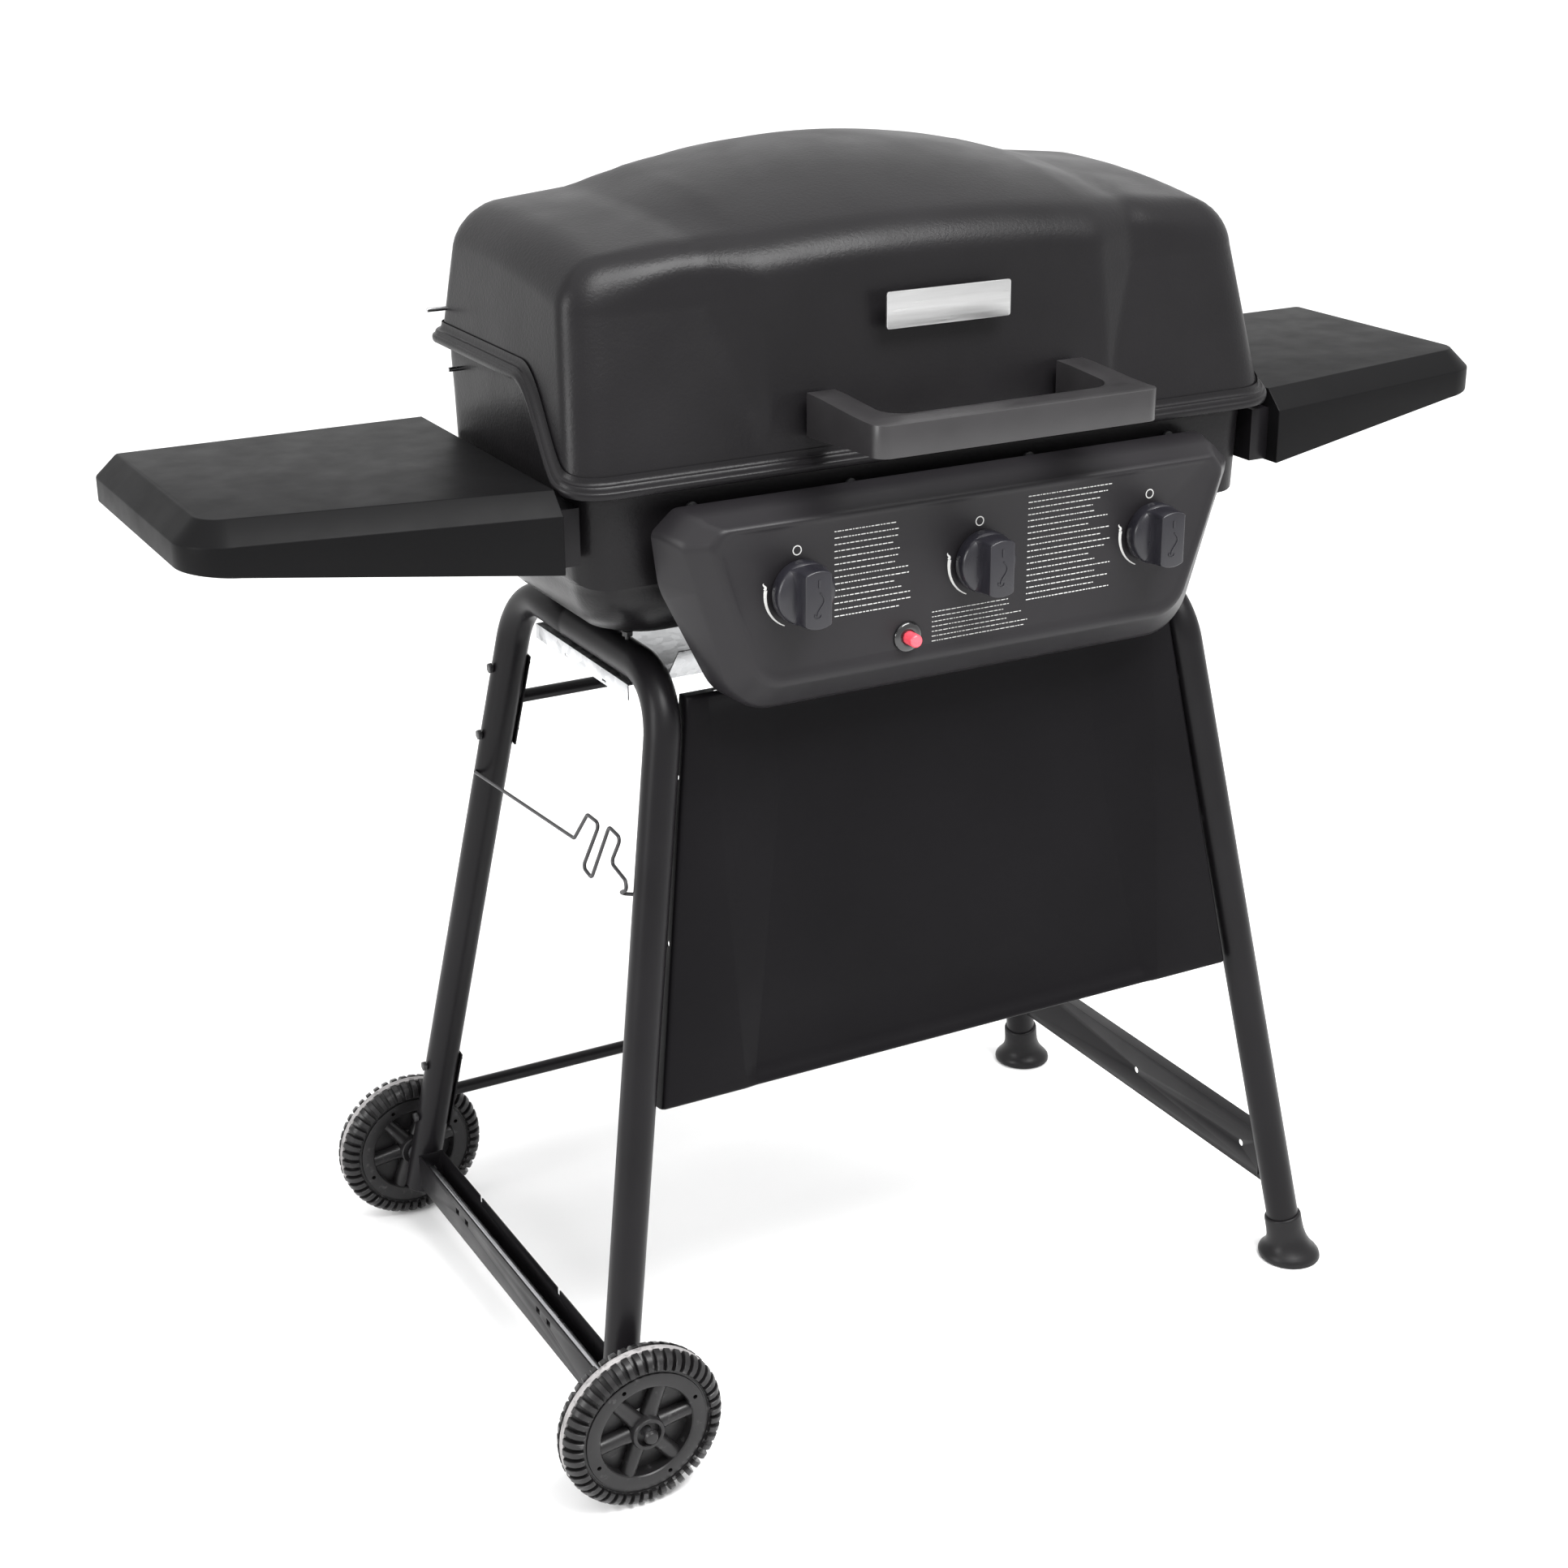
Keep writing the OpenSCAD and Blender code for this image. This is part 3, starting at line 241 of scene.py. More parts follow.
def cut(obj, parts):
    """Takes closed shapes away from a piece."""
    verts, faces = merged(parts)
    mesh = bpy.data.meshes.new("cutter")
    mesh.from_pydata([Vector(v) * MM for v in verts], [], faces)
    bm = bmesh.new()
    bm.from_mesh(mesh)
    bmesh.ops.recalc_face_normals(bm, faces=bm.faces)
    bm.to_mesh(mesh)
    bm.free()
    tool = bpy.data.objects.new("cutter", mesh)
    bpy.context.scene.collection.objects.link(tool)
    mod = obj.modifiers.new("cut", "BOOLEAN")
    mod.operation = "DIFFERENCE"
    mod.solver = "EXACT"
    mod.object = tool
    settle(obj)
    bpy.data.objects.remove(tool)
    return obj


def at_y(y):
    """place() for outlines in the XZ plane, built towards the user from y."""
    return lambda a, b, h: Vector((a, y - h, b))


# ---------- materials ----------

class Look:
    """One procedural material: a principled shader with layered noise for tone, roughness and relief."""

    def __init__(self, name, base, rough, metallic=0.0, **inputs):
        self.mat = bpy.data.materials.new(name)
        self.mat.use_nodes = True
        self.nodes, self.links = self.mat.node_tree.nodes, self.mat.node_tree.links
        self.shader = self.nodes["Principled BSDF"]
        self.base, self.rough = base, rough
        self.shader.inputs["Base Color"].default_value = (*base, 1)
        self.shader.inputs["Roughness"].default_value = rough
        self.shader.inputs["Metallic"].default_value = metallic
        for key, value in inputs.items():
            self.shader.inputs[key.replace("_", " ")].default_value = value
        self.coords = self.nodes.new("ShaderNodeTexCoord")
        self.normal = None
        self.colour = None

    def noise(self, scale, detail=3.0, roughness=0.5, stretch=(1, 1, 1), distortion=0.0):
        mapping = self.nodes.new("ShaderNodeMapping")
        mapping.inputs["Scale"].default_value = stretch
        self.links.new(self.coords.outputs["Object"], mapping.inputs["Vector"])
        tex = self.nodes.new("ShaderNodeTexNoise")
        tex.inputs["Scale"].default_value = scale
        tex.inputs["Detail"].default_value = detail
        tex.inputs["Roughness"].default_value = roughness
        tex.inputs["Distortion"].default_value = distortion
        self.links.new(mapping.outputs["Vector"], tex.inputs["Vector"])
        return tex.outputs["Fac"]

    def cells(self, scale, feature="F1"):
        tex = self.nodes.new("ShaderNodeTexVoronoi")
        tex.feature = feature
        tex.inputs["Scale"].default_value = scale
        self.links.new(self.coords.outputs["Object"], tex.inputs["Vector"])
        return tex

    def spread(self, value, low, high, from_low=0.3, from_high=0.7):
        node = self.nodes.new("ShaderNodeMapRange")
        node.inputs["From Min"].default_value = from_low
        node.inputs["From Max"].default_value = from_high
        node.inputs["To Min"].default_value = low
        node.inputs["To Max"].default_value = high
        self.links.new(value, node.inputs["Value"])
        return node.outputs["Result"]

    def mix(self, factor, first, second):
        node = self.nodes.new("ShaderNodeMix")
        node.data_type = "RGBA"
        for socket, value in (("A", first), ("B", second)):
            target = [s for s in node.inputs if s.name == socket and s.type == "RGBA"][0]
            if isinstance(value, tuple):
                target.default_value = (*value, 1)
            else:
                self.links.new(value, target)
        self.links.new(factor, node.inputs[0])
        return [s for s in node.outputs if s.type == "RGBA"][0]

    def tone(self, share, scale, detail=4.0, stretch=(1, 1, 1)):
        """Colour wanders by +-share of the base colour."""
        dark = tuple(c * (1 - share) for c in self.base)
        light = tuple(min(1, c * (1 + share)) for c in self.base)
        self.colour = self.mix(self.spread(self.noise(scale, detail, stretch=stretch), 0, 1), dark, light)
        self.links.new(self.colour, self.shader.inputs["Base Color"])
        return self

    def patch(self, colour, scale, low, high, detail=6.0):
        """Lays another colour where a noise is high, such as dust or scuffs."""
        mask = self.spread(self.noise(scale, detail, 0.6), 0, 1, low, high)
        self.colour = self.mix(mask, self.colour, colour)
        self.links.new(self.colour, self.shader.inputs["Base Color"])
        return self

    def gloss(self, spread, scale, stretch=(1, 1, 1)):
        """Roughness wanders by +-spread."""
        value = self.spread(self.noise(scale, 4.0, stretch=stretch), self.rough - spread, self.rough + spread)
        self.links.new(value, self.shader.inputs["Roughness"])
        return self

    def relief(self, height, depth, strength=1.0):
        """Adds a bump layer; depth is in millimetres."""
        bump = self.nodes.new("ShaderNodeBump")
        bump.inputs["Strength"].default_value = strength
        bump.inputs["Distance"].default_value = depth * MM
        self.links.new(height, bump.inputs["Height"])
        if self.normal:
            self.links.new(self.normal, bump.inputs["Normal"])
        self.normal = bump.outputs["Normal"]
        self.links.new(self.normal, self.shader.inputs["Normal"])
        return self


def orange_peel_paint():
    look = Look("orange peel paint", (0.0068, 0.0063, 0.0070), 0.34, Specular_IOR_Level=0.16)
    look.tone(0.18, 6).gloss(0.05, 14)
    look.relief(look.noise(330, 2.0, 0.45, distortion=0.6), 0.55, 0.32)
    look.relief(look.noise(900, 2.0), 0.12, 0.18)
    return look.mat


def tube_paint():
    look = Look("tube paint", (0.0062, 0.0057, 0.0065), 0.34, Specular_IOR_Level=0.14)
    look.tone(0.15, 9).gloss(0.05, 22)
    look.relief(look.noise(1100, 3.0), 0.10, 0.25)
    return look.mat


def panel_paint():
    look = Look("panel paint", (0.0125, 0.0116, 0.0130), 0.40, Specular_IOR_Level=0.20)
    look.tone(0.10, 8).gloss(0.04, 18)
    look.relief(look.noise(1300, 3.0), 0.10, 0.28)
    return look.mat


# Painted shade: a darker, less shiny copy of the smooth black paint, so that the front panel reads darker than the
# same paint on the legs.
def shaded_smooth_paint():
    look = Look("smooth paint with painted shade", (0.0044, 0.0040, 0.0047), 0.42, Specular_IOR_Level=0.06)
    look.tone(0.15, 7).gloss(0.05, 16)
    look.relief(look.noise(1200, 3.0), 0.08, 0.25)
    return look.mat


def shelf_plastic():
    look = Look("shelf plastic", (0.0040, 0.0039, 0.0042), 0.44, Specular_IOR_Level=0.07)
    look.tone(0.12, 5).gloss(0.04, 30)
    look.relief(look.cells(1500).outputs["Distance"], 0.10, 0.22)
    return look.mat


def knob_plastic():
    look = Look("knob plastic", (0.0105, 0.0100, 0.0135), 0.32, Specular_IOR_Level=0.40)
    look.tone(0.12, 30).gloss(0.05, 60)
    look.relief(look.noise(1500, 3.0), 0.06, 0.25)
    return look.mat


def handle_plastic():
    look = Look("handle plastic", (0.0165, 0.0155, 0.0165), 0.36, Specular_IOR_Level=0.48)
    look.tone(0.12, 20).gloss(0.05, 45)
    look.relief(look.noise(1100, 3.0), 0.07, 0.28)
    return look.mat


def wheel_plastic():
    look = Look("wheel plastic", (0.0095, 0.0090, 0.0095), 0.36, Specular_IOR_Level=0.30)
    look.tone(0.2, 40).patch((0.075, 0.073, 0.074), 90, 0.60, 0.78).gloss(0.07, 60)
    look.relief(look.noise(700, 4.0), 0.10, 0.3)
    return look.mat


def tread_plastic():
    look = Look("scuffed tread", (0.2600, 0.2500, 0.2500), 0.62, Specular_IOR_Level=0.50)
    look.tone(0.25, 70).patch((0.05, 0.048, 0.05), 120, 0.55, 0.75).gloss(0.08, 60)
    look.relief(look.noise(600, 4.0), 0.12, 0.4)
    return look.mat


def foot_plastic():
    look = Look("foot plastic", (0.0070, 0.0066, 0.0072), 0.40, Specular_IOR_Level=0.20)
    look.tone(0.15, 40).gloss(0.05, 60)
    look.relief(look.noise(900, 3.0), 0.08, 0.25)
    return look.mat


def plated_steel():
    look = Look("zinc plate", (0.56, 0.56, 0.58), 0.32, 1.0)
    look.tone(0.10, 60).gloss(0.08, 90)
    look.relief(look.noise(800, 3.0), 0.04, 0.3)
    return look.mat


def black_screws():
    look = Look("black oxide", (0.014, 0.014, 0.015), 0.38, Specular_IOR_Level=0.45)
    look.tone(0.15, 200).gloss(0.06, 300)
    look.relief(look.noise(1800, 2.0), 0.03, 0.3)
    return look.mat


def galvanised():
    look = Look("galvanised sheet", (0.66, 0.67, 0.68), 0.36, 1.0)
    spangle = look.cells(130)
    look.colour = look.mix(look.spread(spangle.outputs["Color"], 0, 1, 0.1, 0.9), (0.52, 0.53, 0.54),
                           (0.78, 0.79, 0.80))
    look.links.new(look.colour, look.shader.inputs["Base Color"])
    look.links.new(look.spread(spangle.outputs["Color"], 0.28, 0.46, 0.1, 0.9), look.shader.inputs["Roughness"])
    look.relief(look.noise(500, 3.0), 0.05, 0.3)
    return look.mat


def brushed_aluminium():
    look = Look("brushed aluminium", (0.50, 0.50, 0.50), 0.34, 1.0)
    look.tone(0.06, 260, stretch=(0.06, 1, 1)).gloss(0.08, 500, stretch=(0.04, 1, 1))
    look.relief(look.noise(1800, 2.0, stretch=(0.03, 1, 1)), 0.03, 0.4)
    return look.mat


def drawn_aluminium():
    look = Look("drawn aluminium", (0.74, 0.71, 0.64), 0.38, 1.0)
    look.tone(0.10, 60).gloss(0.08, 120)
    look.relief(look.noise(500, 3.0), 0.05, 0.3)
    return look.mat


def brass():
    look = Look("turned brass", (0.66, 0.50, 0.24), 0.34, 1.0)
    look.tone(0.12, 80).gloss(0.07, 120)
    look.relief(look.noise(900, 2.0), 0.03, 0.3)
    return look.mat


def stainless():
    look = Look("stainless tube", (0.50, 0.49, 0.47), 0.34, 1.0)
    look.tone(0.12, 50, stretch=(1, 0.1, 1)).gloss(0.08, 300, stretch=(1, 0.05, 1))
    look.relief(look.noise(1500, 2.0, stretch=(1, 0.04, 1)), 0.03, 0.3)
    return look.mat


def tent_steel():
    look = Look("aluminised steel", (0.42, 0.415, 0.40), 0.45, 1.0)
    look.tone(0.14, 24).gloss(0.1, 70)
    look.relief(look.noise(400, 3.0), 0.06, 0.3)
    return look.mat


def grate_enamel():
    look = Look("grate enamel", (0.022, 0.0215, 0.021), 0.34)
    look.tone(0.2, 60).gloss(0.08, 120)
    look.relief(look.noise(420, 4.0), 0.25, 0.35)
    return look.mat


def chrome_wire():
    look = Look("chromed wire", (0.62, 0.62, 0.63), 0.16, 1.0)
    look.tone(0.06, 80).gloss(0.06, 120)
    look.relief(look.noise(700, 2.0), 0.03, 0.2)
    return look.mat


def coated_wire():
    look = Look("coated wire", (0.02, 0.019, 0.021), 0.40)
    look.tone(0.15, 80).gloss(0.06, 120)
    look.relief(look.noise(900, 3.0), 0.06, 0.3)
    return look.mat


def red_plastic():
    look = Look("red plastic", (0.72, 0.07, 0.10), 0.30, Coat_Weight=0.3, Coat_Roughness=0.15)
    look.tone(0.10, 120).gloss(0.06, 200)
    look.relief(look.noise(900, 2.0), 0.03, 0.2)
    return look.mat


def gloss_black():
    look = Look("gloss black plastic", (0.006, 0.006, 0.0065), 0.14, Coat_Weight=0.5, Coat_Roughness=0.06)
    look.tone(0.10, 90).gloss(0.04, 160)
    look.relief(look.noise(500, 2.0), 0.03, 0.2)
    return look.mat


def white_ceramic():
    look = Look("white ceramic", (0.80, 0.77, 0.70), 0.35)
    look.tone(0.05, 120).gloss(0.06, 200)
    look.relief(look.noise(900, 2.0), 0.03, 0.2)
    return look.mat


def white_print():
    look = Look("white print", (0.50, 0.50, 0.49), 0.55)
    look.tone(0.08, 600).gloss(0.05, 900)
    look.relief(look.noise(2500, 2.0), 0.02, 0.3)
    return look.mat


LOOKS = {
    "satin_black_paint": orange_peel_paint(), "smooth_black_paint": tube_paint(),
    "panel_paint": panel_paint(), "shelf_plastic": shelf_plastic(), "knob_plastic": knob_plastic(),
    "handle_plastic": handle_plastic(), "wheel_plastic": wheel_plastic(), "foot_plastic": foot_plastic(),
    "zinc_fasteners": plated_steel(), "black_fasteners": black_screws(), "galvanised_sheet": galvanised(),
    "badge_aluminium": brushed_aluminium(),
    "cast_aluminium": drawn_aluminium(), "valve_brass": brass(), "burner_steel": stainless(),
    "tent_steel": tent_steel(), "grate_enamel": grate_enamel(), "rack_chrome": chrome_wire(),
    "wire_black": coated_wire(), "button_red": red_plastic(), "electrode_ceramic": white_ceramic(),
}
# the first of these is the darker copy of the smooth black paint that paints shade on the front panel
SHADED_SMOOTH_PAINT, TREAD, INK, GLOSS = shaded_smooth_paint(), tread_plastic(), white_print(), gloss_black()

# every CAD node that stays gets the finish of its own slot
for row in frame["record"]["subparts"]:
    node = frame["nodes"][row["node"]]
    node.data.materials.clear()
    node.data.materials.append(LOOKS[row["material_slot"]])


# ---------- lid ----------

RIM_FRONT, RIM_RISE, RIM_Y0, RIM_Y1 = 869, 77, -168, -52
LID_MID_Y, WALL_TOP = 10, 1000
CREASE_IN, CROWN, CROWN_Y = 165, 109.5, 85


def rim_z(y):
    """Height of the joint line between lid and firebox."""
    t = min(1, max(0, (y - RIM_Y0) / (RIM_Y1 - RIM_Y0)))
    return RIM_FRONT + RIM_RISE * (1 - math.cos(math.pi * t)) / 2


def bulge(x, y, z):
    """1 on the raised middle of the lid, 0 on its shoulders; the creases meet near the bottom."""
    up = min(1, max(0, (z - 925) / 81))
    outer = lerp(178, 212 + 16 * smoothstep((y + 130) / 240), up)
    inner = lerp(172, CREASE_IN, up)
    t = min(1, max(0, (outer - abs(x)) / (outer - inner)))
    # a ramp with short round ends keeps both creases readable
    edge = 0.06
    if t < edge:
        return t * t / (2 * edge) / (1 - edge)
    if t > 1 - edge:
        return 1 - (1 - t) ** 2 / (2 * edge) / (1 - edge)
    return (t - edge / 2) / (1 - edge)


def lid_level(x, y, z):
    """Below 1 inside the lid's outer skin, above 1 outside it: two end walls, a front wall, a back wall and a
    domed top, each with its own corner radius."""
    up = bulge(x, y, z)
    ends = abs(x) - (348 - 0.115 * max(0, z - 880))
    front = -y - (168 - 0.12 * (z - 870) - 17 * (1 - up) * min(1, max(0, (z - 890) / 120)))
    back = y - (143.3 - 0.165 * max(0, z - 952))
    shoulder = 76 - 0.1 * max(0, abs(x) - 228)
    crown = CROWN - lerp(7, 18, smoothstep((y + 150) / 235)) * min(1, (x / CREASE_IN) ** 2)
    fall = lerp(0.00047, 0.00098, up) if y < CROWN_Y else 0.0011
    top = z - WALL_TOP - lerp(shoulder, crown, up) + fall * (y - CROWN_Y) ** 2
    knee = lerp(22, 34, smoothstep((abs(x) - 230) / 80))
    total = 0.0
    for gap, radius in ((ends, 36), (front, 24), (back, 22), (top, knee)):
        total += max(0.0, 1 + gap / radius) ** 2
    return math.sqrt(total)


def reach(origin, direction, level, far):
    """Distance along a direction at which level() becomes 1."""
    low, high = 0.0, far
    for _ in range(32):
        mid = (low + high) / 2
        p = origin + direction * mid
        if level(p.x, p.y, p.z) < 1:
            low = mid
        else:
            high = mid
    return (low + high) / 2


def square_ring(nx, ny):
    """Points around the unit square, denser towards its corners."""
    def spaced(n):
        return [0.45 * math.sin(math.pi / 2 * t) + 0.55 * t for t in (2 * i / n - 1 for i in range(n))]
    out = [(u, -1) for u in spaced(nx)] + [(1, v) for v in spaced(ny)]
    out += [(-u, 1) for u in spaced(nx)] + [(-1, -v) for v in spaced(ny)]
    return out


def offset_ring(ring, out, dz=0.0):
    """Moves each point of a ring outwards in plan and up."""
    n = len(ring)
    moved = []
    for i, p in enumerate(ring):
        along = ring[(i + 1) % n] - ring[i - 1]
        normal = Vector((along.y, -along.x, 0)).normalized()
        moved.append(Vector((p.x + normal.x * out, p.y + normal.y * out, p.z + dz)))
    return moved


NX, NY = 120, 60


def lid_wall_ring(share):
    """Ring at a share of the way from the rim to the top of the walls."""
    ring = []
    for u, v in square_ring(NX, NY):
        p = Vector((u * 348, LID_MID_Y + v * 150, RIM_FRONT))
        for _ in range(3):
            z = lerp(rim_z(p.y) + 6, WALL_TOP, share)
            origin = Vector((0, LID_MID_Y, z))
            flat = Vector((u * 348, v * 150, 0)).normalized()
            p = origin + flat * reach(origin, flat, lid_level, 600)
        ring.append(p)
    return ring


def make_lid():
    low = lid_wall_ring(0)
    rolled = [(2.2, -9.2), (5.6, -9.2), (8.2, -8.0), (9.0, -5.6), (9.0, -3.6), (8.2, -2.2), (6.6, -1.6), (6.2, -0.6),
              (5.9, 0.9), (4.8, 2.0), (3.2, 2.1), (1.8, 2.9), (0.9, 4.4), (0.35, 6.4), (0.0, 8.6)]
    stack = [offset_ring(low, out, dz + 4.2) for out, dz in rolled]
    count = 22
    stack += [lid_wall_ring(i / count) for i in range(1, count + 1) if i / count * 60 > 2]
    verts, faces = rings(stack)
    centre = Vector((0, LID_MID_Y, WALL_TOP))
    grid = {}
    us = [0.45 * math.sin(math.pi / 2 * t) + 0.55 * t for t in (2 * i / NX - 1 for i in range(NX + 1))]
    vs = [0.45 * math.sin(math.pi / 2 * t) + 0.55 * t for t in (2 * i / NY - 1 for i in range(NY + 1))]
    for i, u in enumerate(us):
        for j, v in enumerate(vs):
            m = max(abs(u), abs(v))
            if m < 1e-6:
                direction = Vector((0, 0, 1))
            else:
                flat = Vector((u / m * 348, v / m * 150, 0))
                tilt = math.pi / 2 * (1 - m)
                direction = flat * math.cos(tilt) + Vector((0, 0, 110 * math.sin(tilt)))
                direction.normalize()
            grid[i, j] = len(verts)
            verts.append(centre + direction * reach(centre, direction, lid_level, 600))
    for i in range(NX):
        for j in range(NY):
            faces.append((grid[i, j], grid[i + 1, j], grid[i + 1, j + 1], grid[i, j + 1]))
    obj = piece("lid_shell", verts, faces, "lid_body", "satin_black_paint", LOOKS["satin_black_paint"], ("lid",), 40)
    weld = obj.modifiers.new("weld", "WELD")
    weld.merge_threshold = 0.35 * MM
    settle(obj)
    return shell(obj, 1.6)


make_lid()


def make_handle():
    half, front, mid, back = 137, -286, -256, -169
    outer = [(-half, back), (-half, front), (half, front), (half, back)]
    inner = [(half - 27, back), (half - 27, mid), (-half + 27, mid), (-half + 27, back)]
    outline = rounded(outer + inner, [0.6, 13, 13, 0.6, 0.6, 22, 22, 0.6], 8)
    verts, faces = prism_mesh(outline, lambda a, b, h: Vector((a, b, h)), 904, 931)
    obj = piece("handle_grip", verts, faces, "lid_body", "handle_plastic", LOOKS["handle_plastic"],
                ("lid_handle",), 28)
    bm = bmesh.new()
    bm.from_mesh(obj.data)
    for y in (-262, -240, -215, -190):
        bmesh.ops.bisect_plane(bm, geom=bm.verts[:] + bm.edges[:] + bm.faces[:], plane_co=(0, y * MM, 0),
                               plane_no=(0, 1, 0))
    for v in bm.verts:
        # the arms grow a little towards the lid
        grow = smoothstep((v.co.y / MM + 268) / 100)
        v.co.z += (5 if v.co.z > 0.917 else -5) * MM * grow
    bm.to_mesh(obj.data)
    bm.free()
    return soften(obj, 7.5, 2, 50)


make_handle()


def make_plate():
    outline = rounded([(-61, 980), (61, 980), (61, 1011), (-61, 1011)], 2.5, 5)
    verts, faces = prism_mesh(outline, at_y(-167.6), 0, 2.2)
    obj = piece("badge_plate", verts, faces, "lid_body", "badge_aluminium", LOOKS["badge_aluminium"],
                ("lid_plate",), 30)
    return soften(obj, 0.5, 2, 50)


make_plate()


# ---------- firebox ----------

def firebox_ring(inset, z_of, radius=30):
    outline = rounded([(-338 + inset, -156 + inset), (338 - inset, -156 + inset),
                       (338 - inset, 134 - inset), (-338 + inset, 134 - inset)], max(4, radius - inset * 0.3), 10)
    # the straight sides between the corner arcs need points for the curved rim
    dense = []
    n = len(outline)
    for i in range(n):
        (x0, y0), (x1, y1) = outline[i], outline[(i + 1) % n]
        cuts = 40 if i % 11 == 10 else 1
        dense += [(lerp(x0, x1, k / cuts), lerp(y0, y1, k / cuts)) for k in range(cuts)]
    return [Vector((x, y, z_of(y))) for x, y in dense]


def make_firebox():
    def below(drop):
        return lambda y: rim_z(y) - drop

    def towards(share, bottom=728):
        return lambda y: lerp(rim_z(y) - 10, bottom, share)

    stack = [firebox_ring(0.5, below(0.3)), firebox_ring(0.0, below(3)), firebox_ring(0.0, below(10))]
    stack += [firebox_ring(0.4 + 2.2 * s, towards(s * 0.55)) for s in (0.25, 0.5, 0.75, 1.0)]
    # pressed step, then the tub curves in to its floor
    stack += [firebox_ring(i, (lambda h: lambda y: h)(h), 30 + i * 0.5) for i, h in
              ((3.0, 794), (4.5, 791), (7.5, 789.5), (9.5, 787), (11, 780), (16, 766), (25, 752), (38, 739),
               (56, 729), (74, 722.5), (86, 720.5), (110, 720))]
    verts, faces = rings(stack, end_cap=True)
    obj = piece("firebox_tub", verts, faces, "cart", "satin_black_paint", LOOKS["satin_black_paint"],
                ("firebox",), 40)
    shell(obj, 1.8)
    ledges = [block_mesh((-300, y, 842), (300, y + 9, 846)) for y in (-154, 123)]
    verts, faces = merged(ledges)
    soften(piece("grate_ledges", verts, faces, "cart", "satin_black_paint", LOOKS["satin_black_paint"]), 0.6, 2)


make_firebox()


# ---------- side shelves ----------

def shelf_outline(inset, x_in):
    outer, arcs = 650, []
    for cx, cy, r, a0, a1 in ((outer - 42, -84, 42 - inset, -90, 0), (outer - 22, 137, 22 - inset, 0, 90)):
        arcs += [(cx + r * math.cos(math.radians(lerp(a0, a1, k / 12))),
                  cy + r * math.sin(math.radians(lerp(a0, a1, k / 12)))) for k in range(13)]
    return [(x_in, 156 - inset), (x_in, -171 + inset)] + arcs


def make_shelf(name, side, node):
    x_in, x_out, top, bevel = 358, 650, 880, 18

    def skirt(x):
        return lerp(top - 67, top - 39, (x - x_in) / (x_out - x_in))

    def ring(inset, z, inner=x_in):
        return [Vector((side * x, y, z(x) if callable(z) else z)) for x, y in shelf_outline(inset, inner)]

    stack = [ring(bevel, top), ring(0, top - bevel), ring(0, skirt), ring(2.5, skirt, x_in + 2.5),
             ring(2.5, top - bevel - 1.5, x_in + 2.5), ring(bevel + 1.5, top - 2.5, x_in + 2.5)]
    verts, faces = rings(stack, start_cap=True, end_cap=True)
    obj = piece(name, verts, faces, "cart", "shelf_plastic", LOOKS["shelf_plastic"], (node,), 30)
    soften(obj, 1.6, 3, 32)
    ribs = [block_mesh((side * x - 1, -118, top - 12), (side * x + 1, 118, top - 2)) for x in (440, 530)]
    verts, faces = merged(ribs)
    piece(name + "_ribs", verts, faces, "cart", "shelf_plastic", LOOKS["shelf_plastic"])


make_shelf("shelf_left_top", -1, "left_shelf")
make_shelf("shelf_right_top", 1, "right_shelf")


# ---------- control panel ----------

PANEL_Y = -223
KNOB_X, KNOB_Z = (-176, 0, 176), 788
IGNITOR_X, IGNITOR_Z = -70.4, 730


def panel_ring(points, radii, y):
    right = [(-x, z) for x, z in points][::-1]
    outline = rounded([*points, *right], [*radii, *radii[::-1]], 8)
    return [Vector((x, y, z)) for x, z in outline]


def make_panel():
    back = panel_ring([(-262, 856), (-283, 838), (-277, 790), (-224, 682)], [12, 10, 60, 46], -171)
    back2 = panel_ring([(-262, 856), (-281, 838), (-275, 790), (-223, 682)], [12, 10, 60, 46], -178)
    edge = panel_ring([(-255, 853), (-275, 835), (-260, 792), (-226, 682)], [12, 10, 40, 46], -203)
    edge2 = panel_ring([(-252, 849.5), (-271, 832), (-257, 791), (-223.5, 686)], [12, 10, 40, 44], -207.5)
    near = panel_ring([(-246, 848), (-257, 834), (-240, 784), (-213, 704)], [10, 10, 40, 34], -220.5)
    ridge = panel_ring([(-243, 846), (-253.5, 832), (-237, 782), (-211, 708)], [10, 10, 40, 31], PANEL_Y - 1.2)
    ridge2 = panel_ring([(-240, 844), (-249.5, 830), (-233.5, 780), (-208, 712)], [10, 10, 40, 29], PANEL_Y - 1.6)
    slope = panel_ring([(-236, 842), (-245, 828), (-229.5, 778), (-204, 716)], [10, 10, 40, 26], PANEL_Y - 0.7)
    face = panel_ring([(-233, 840), (-241, 826), (-226.5, 776), (-201, 720)], [10, 10, 40, 24], PANEL_Y)
    verts, faces = rings([back, back2, edge, edge2, near, ridge, ridge2, slope, face], end_cap=True)
    obj = piece("panel_shell", verts, faces, "cart", "panel_paint", LOOKS["panel_paint"], ("control_panel",), 60)
    shell(obj, 1.6)
    holes = [lathe_mesh([(6.5, -12), (6.5, 12)], (x, PANEL_Y, KNOB_Z), (0, 1, 0), 24) for x in KNOB_X]
    holes += [lathe_mesh([(10, -12), (10, 12)], (IGNITOR_X, PANEL_Y, IGNITOR_Z), (0, 1, 0), 32)]
    return cut(obj, holes)


make_panel()


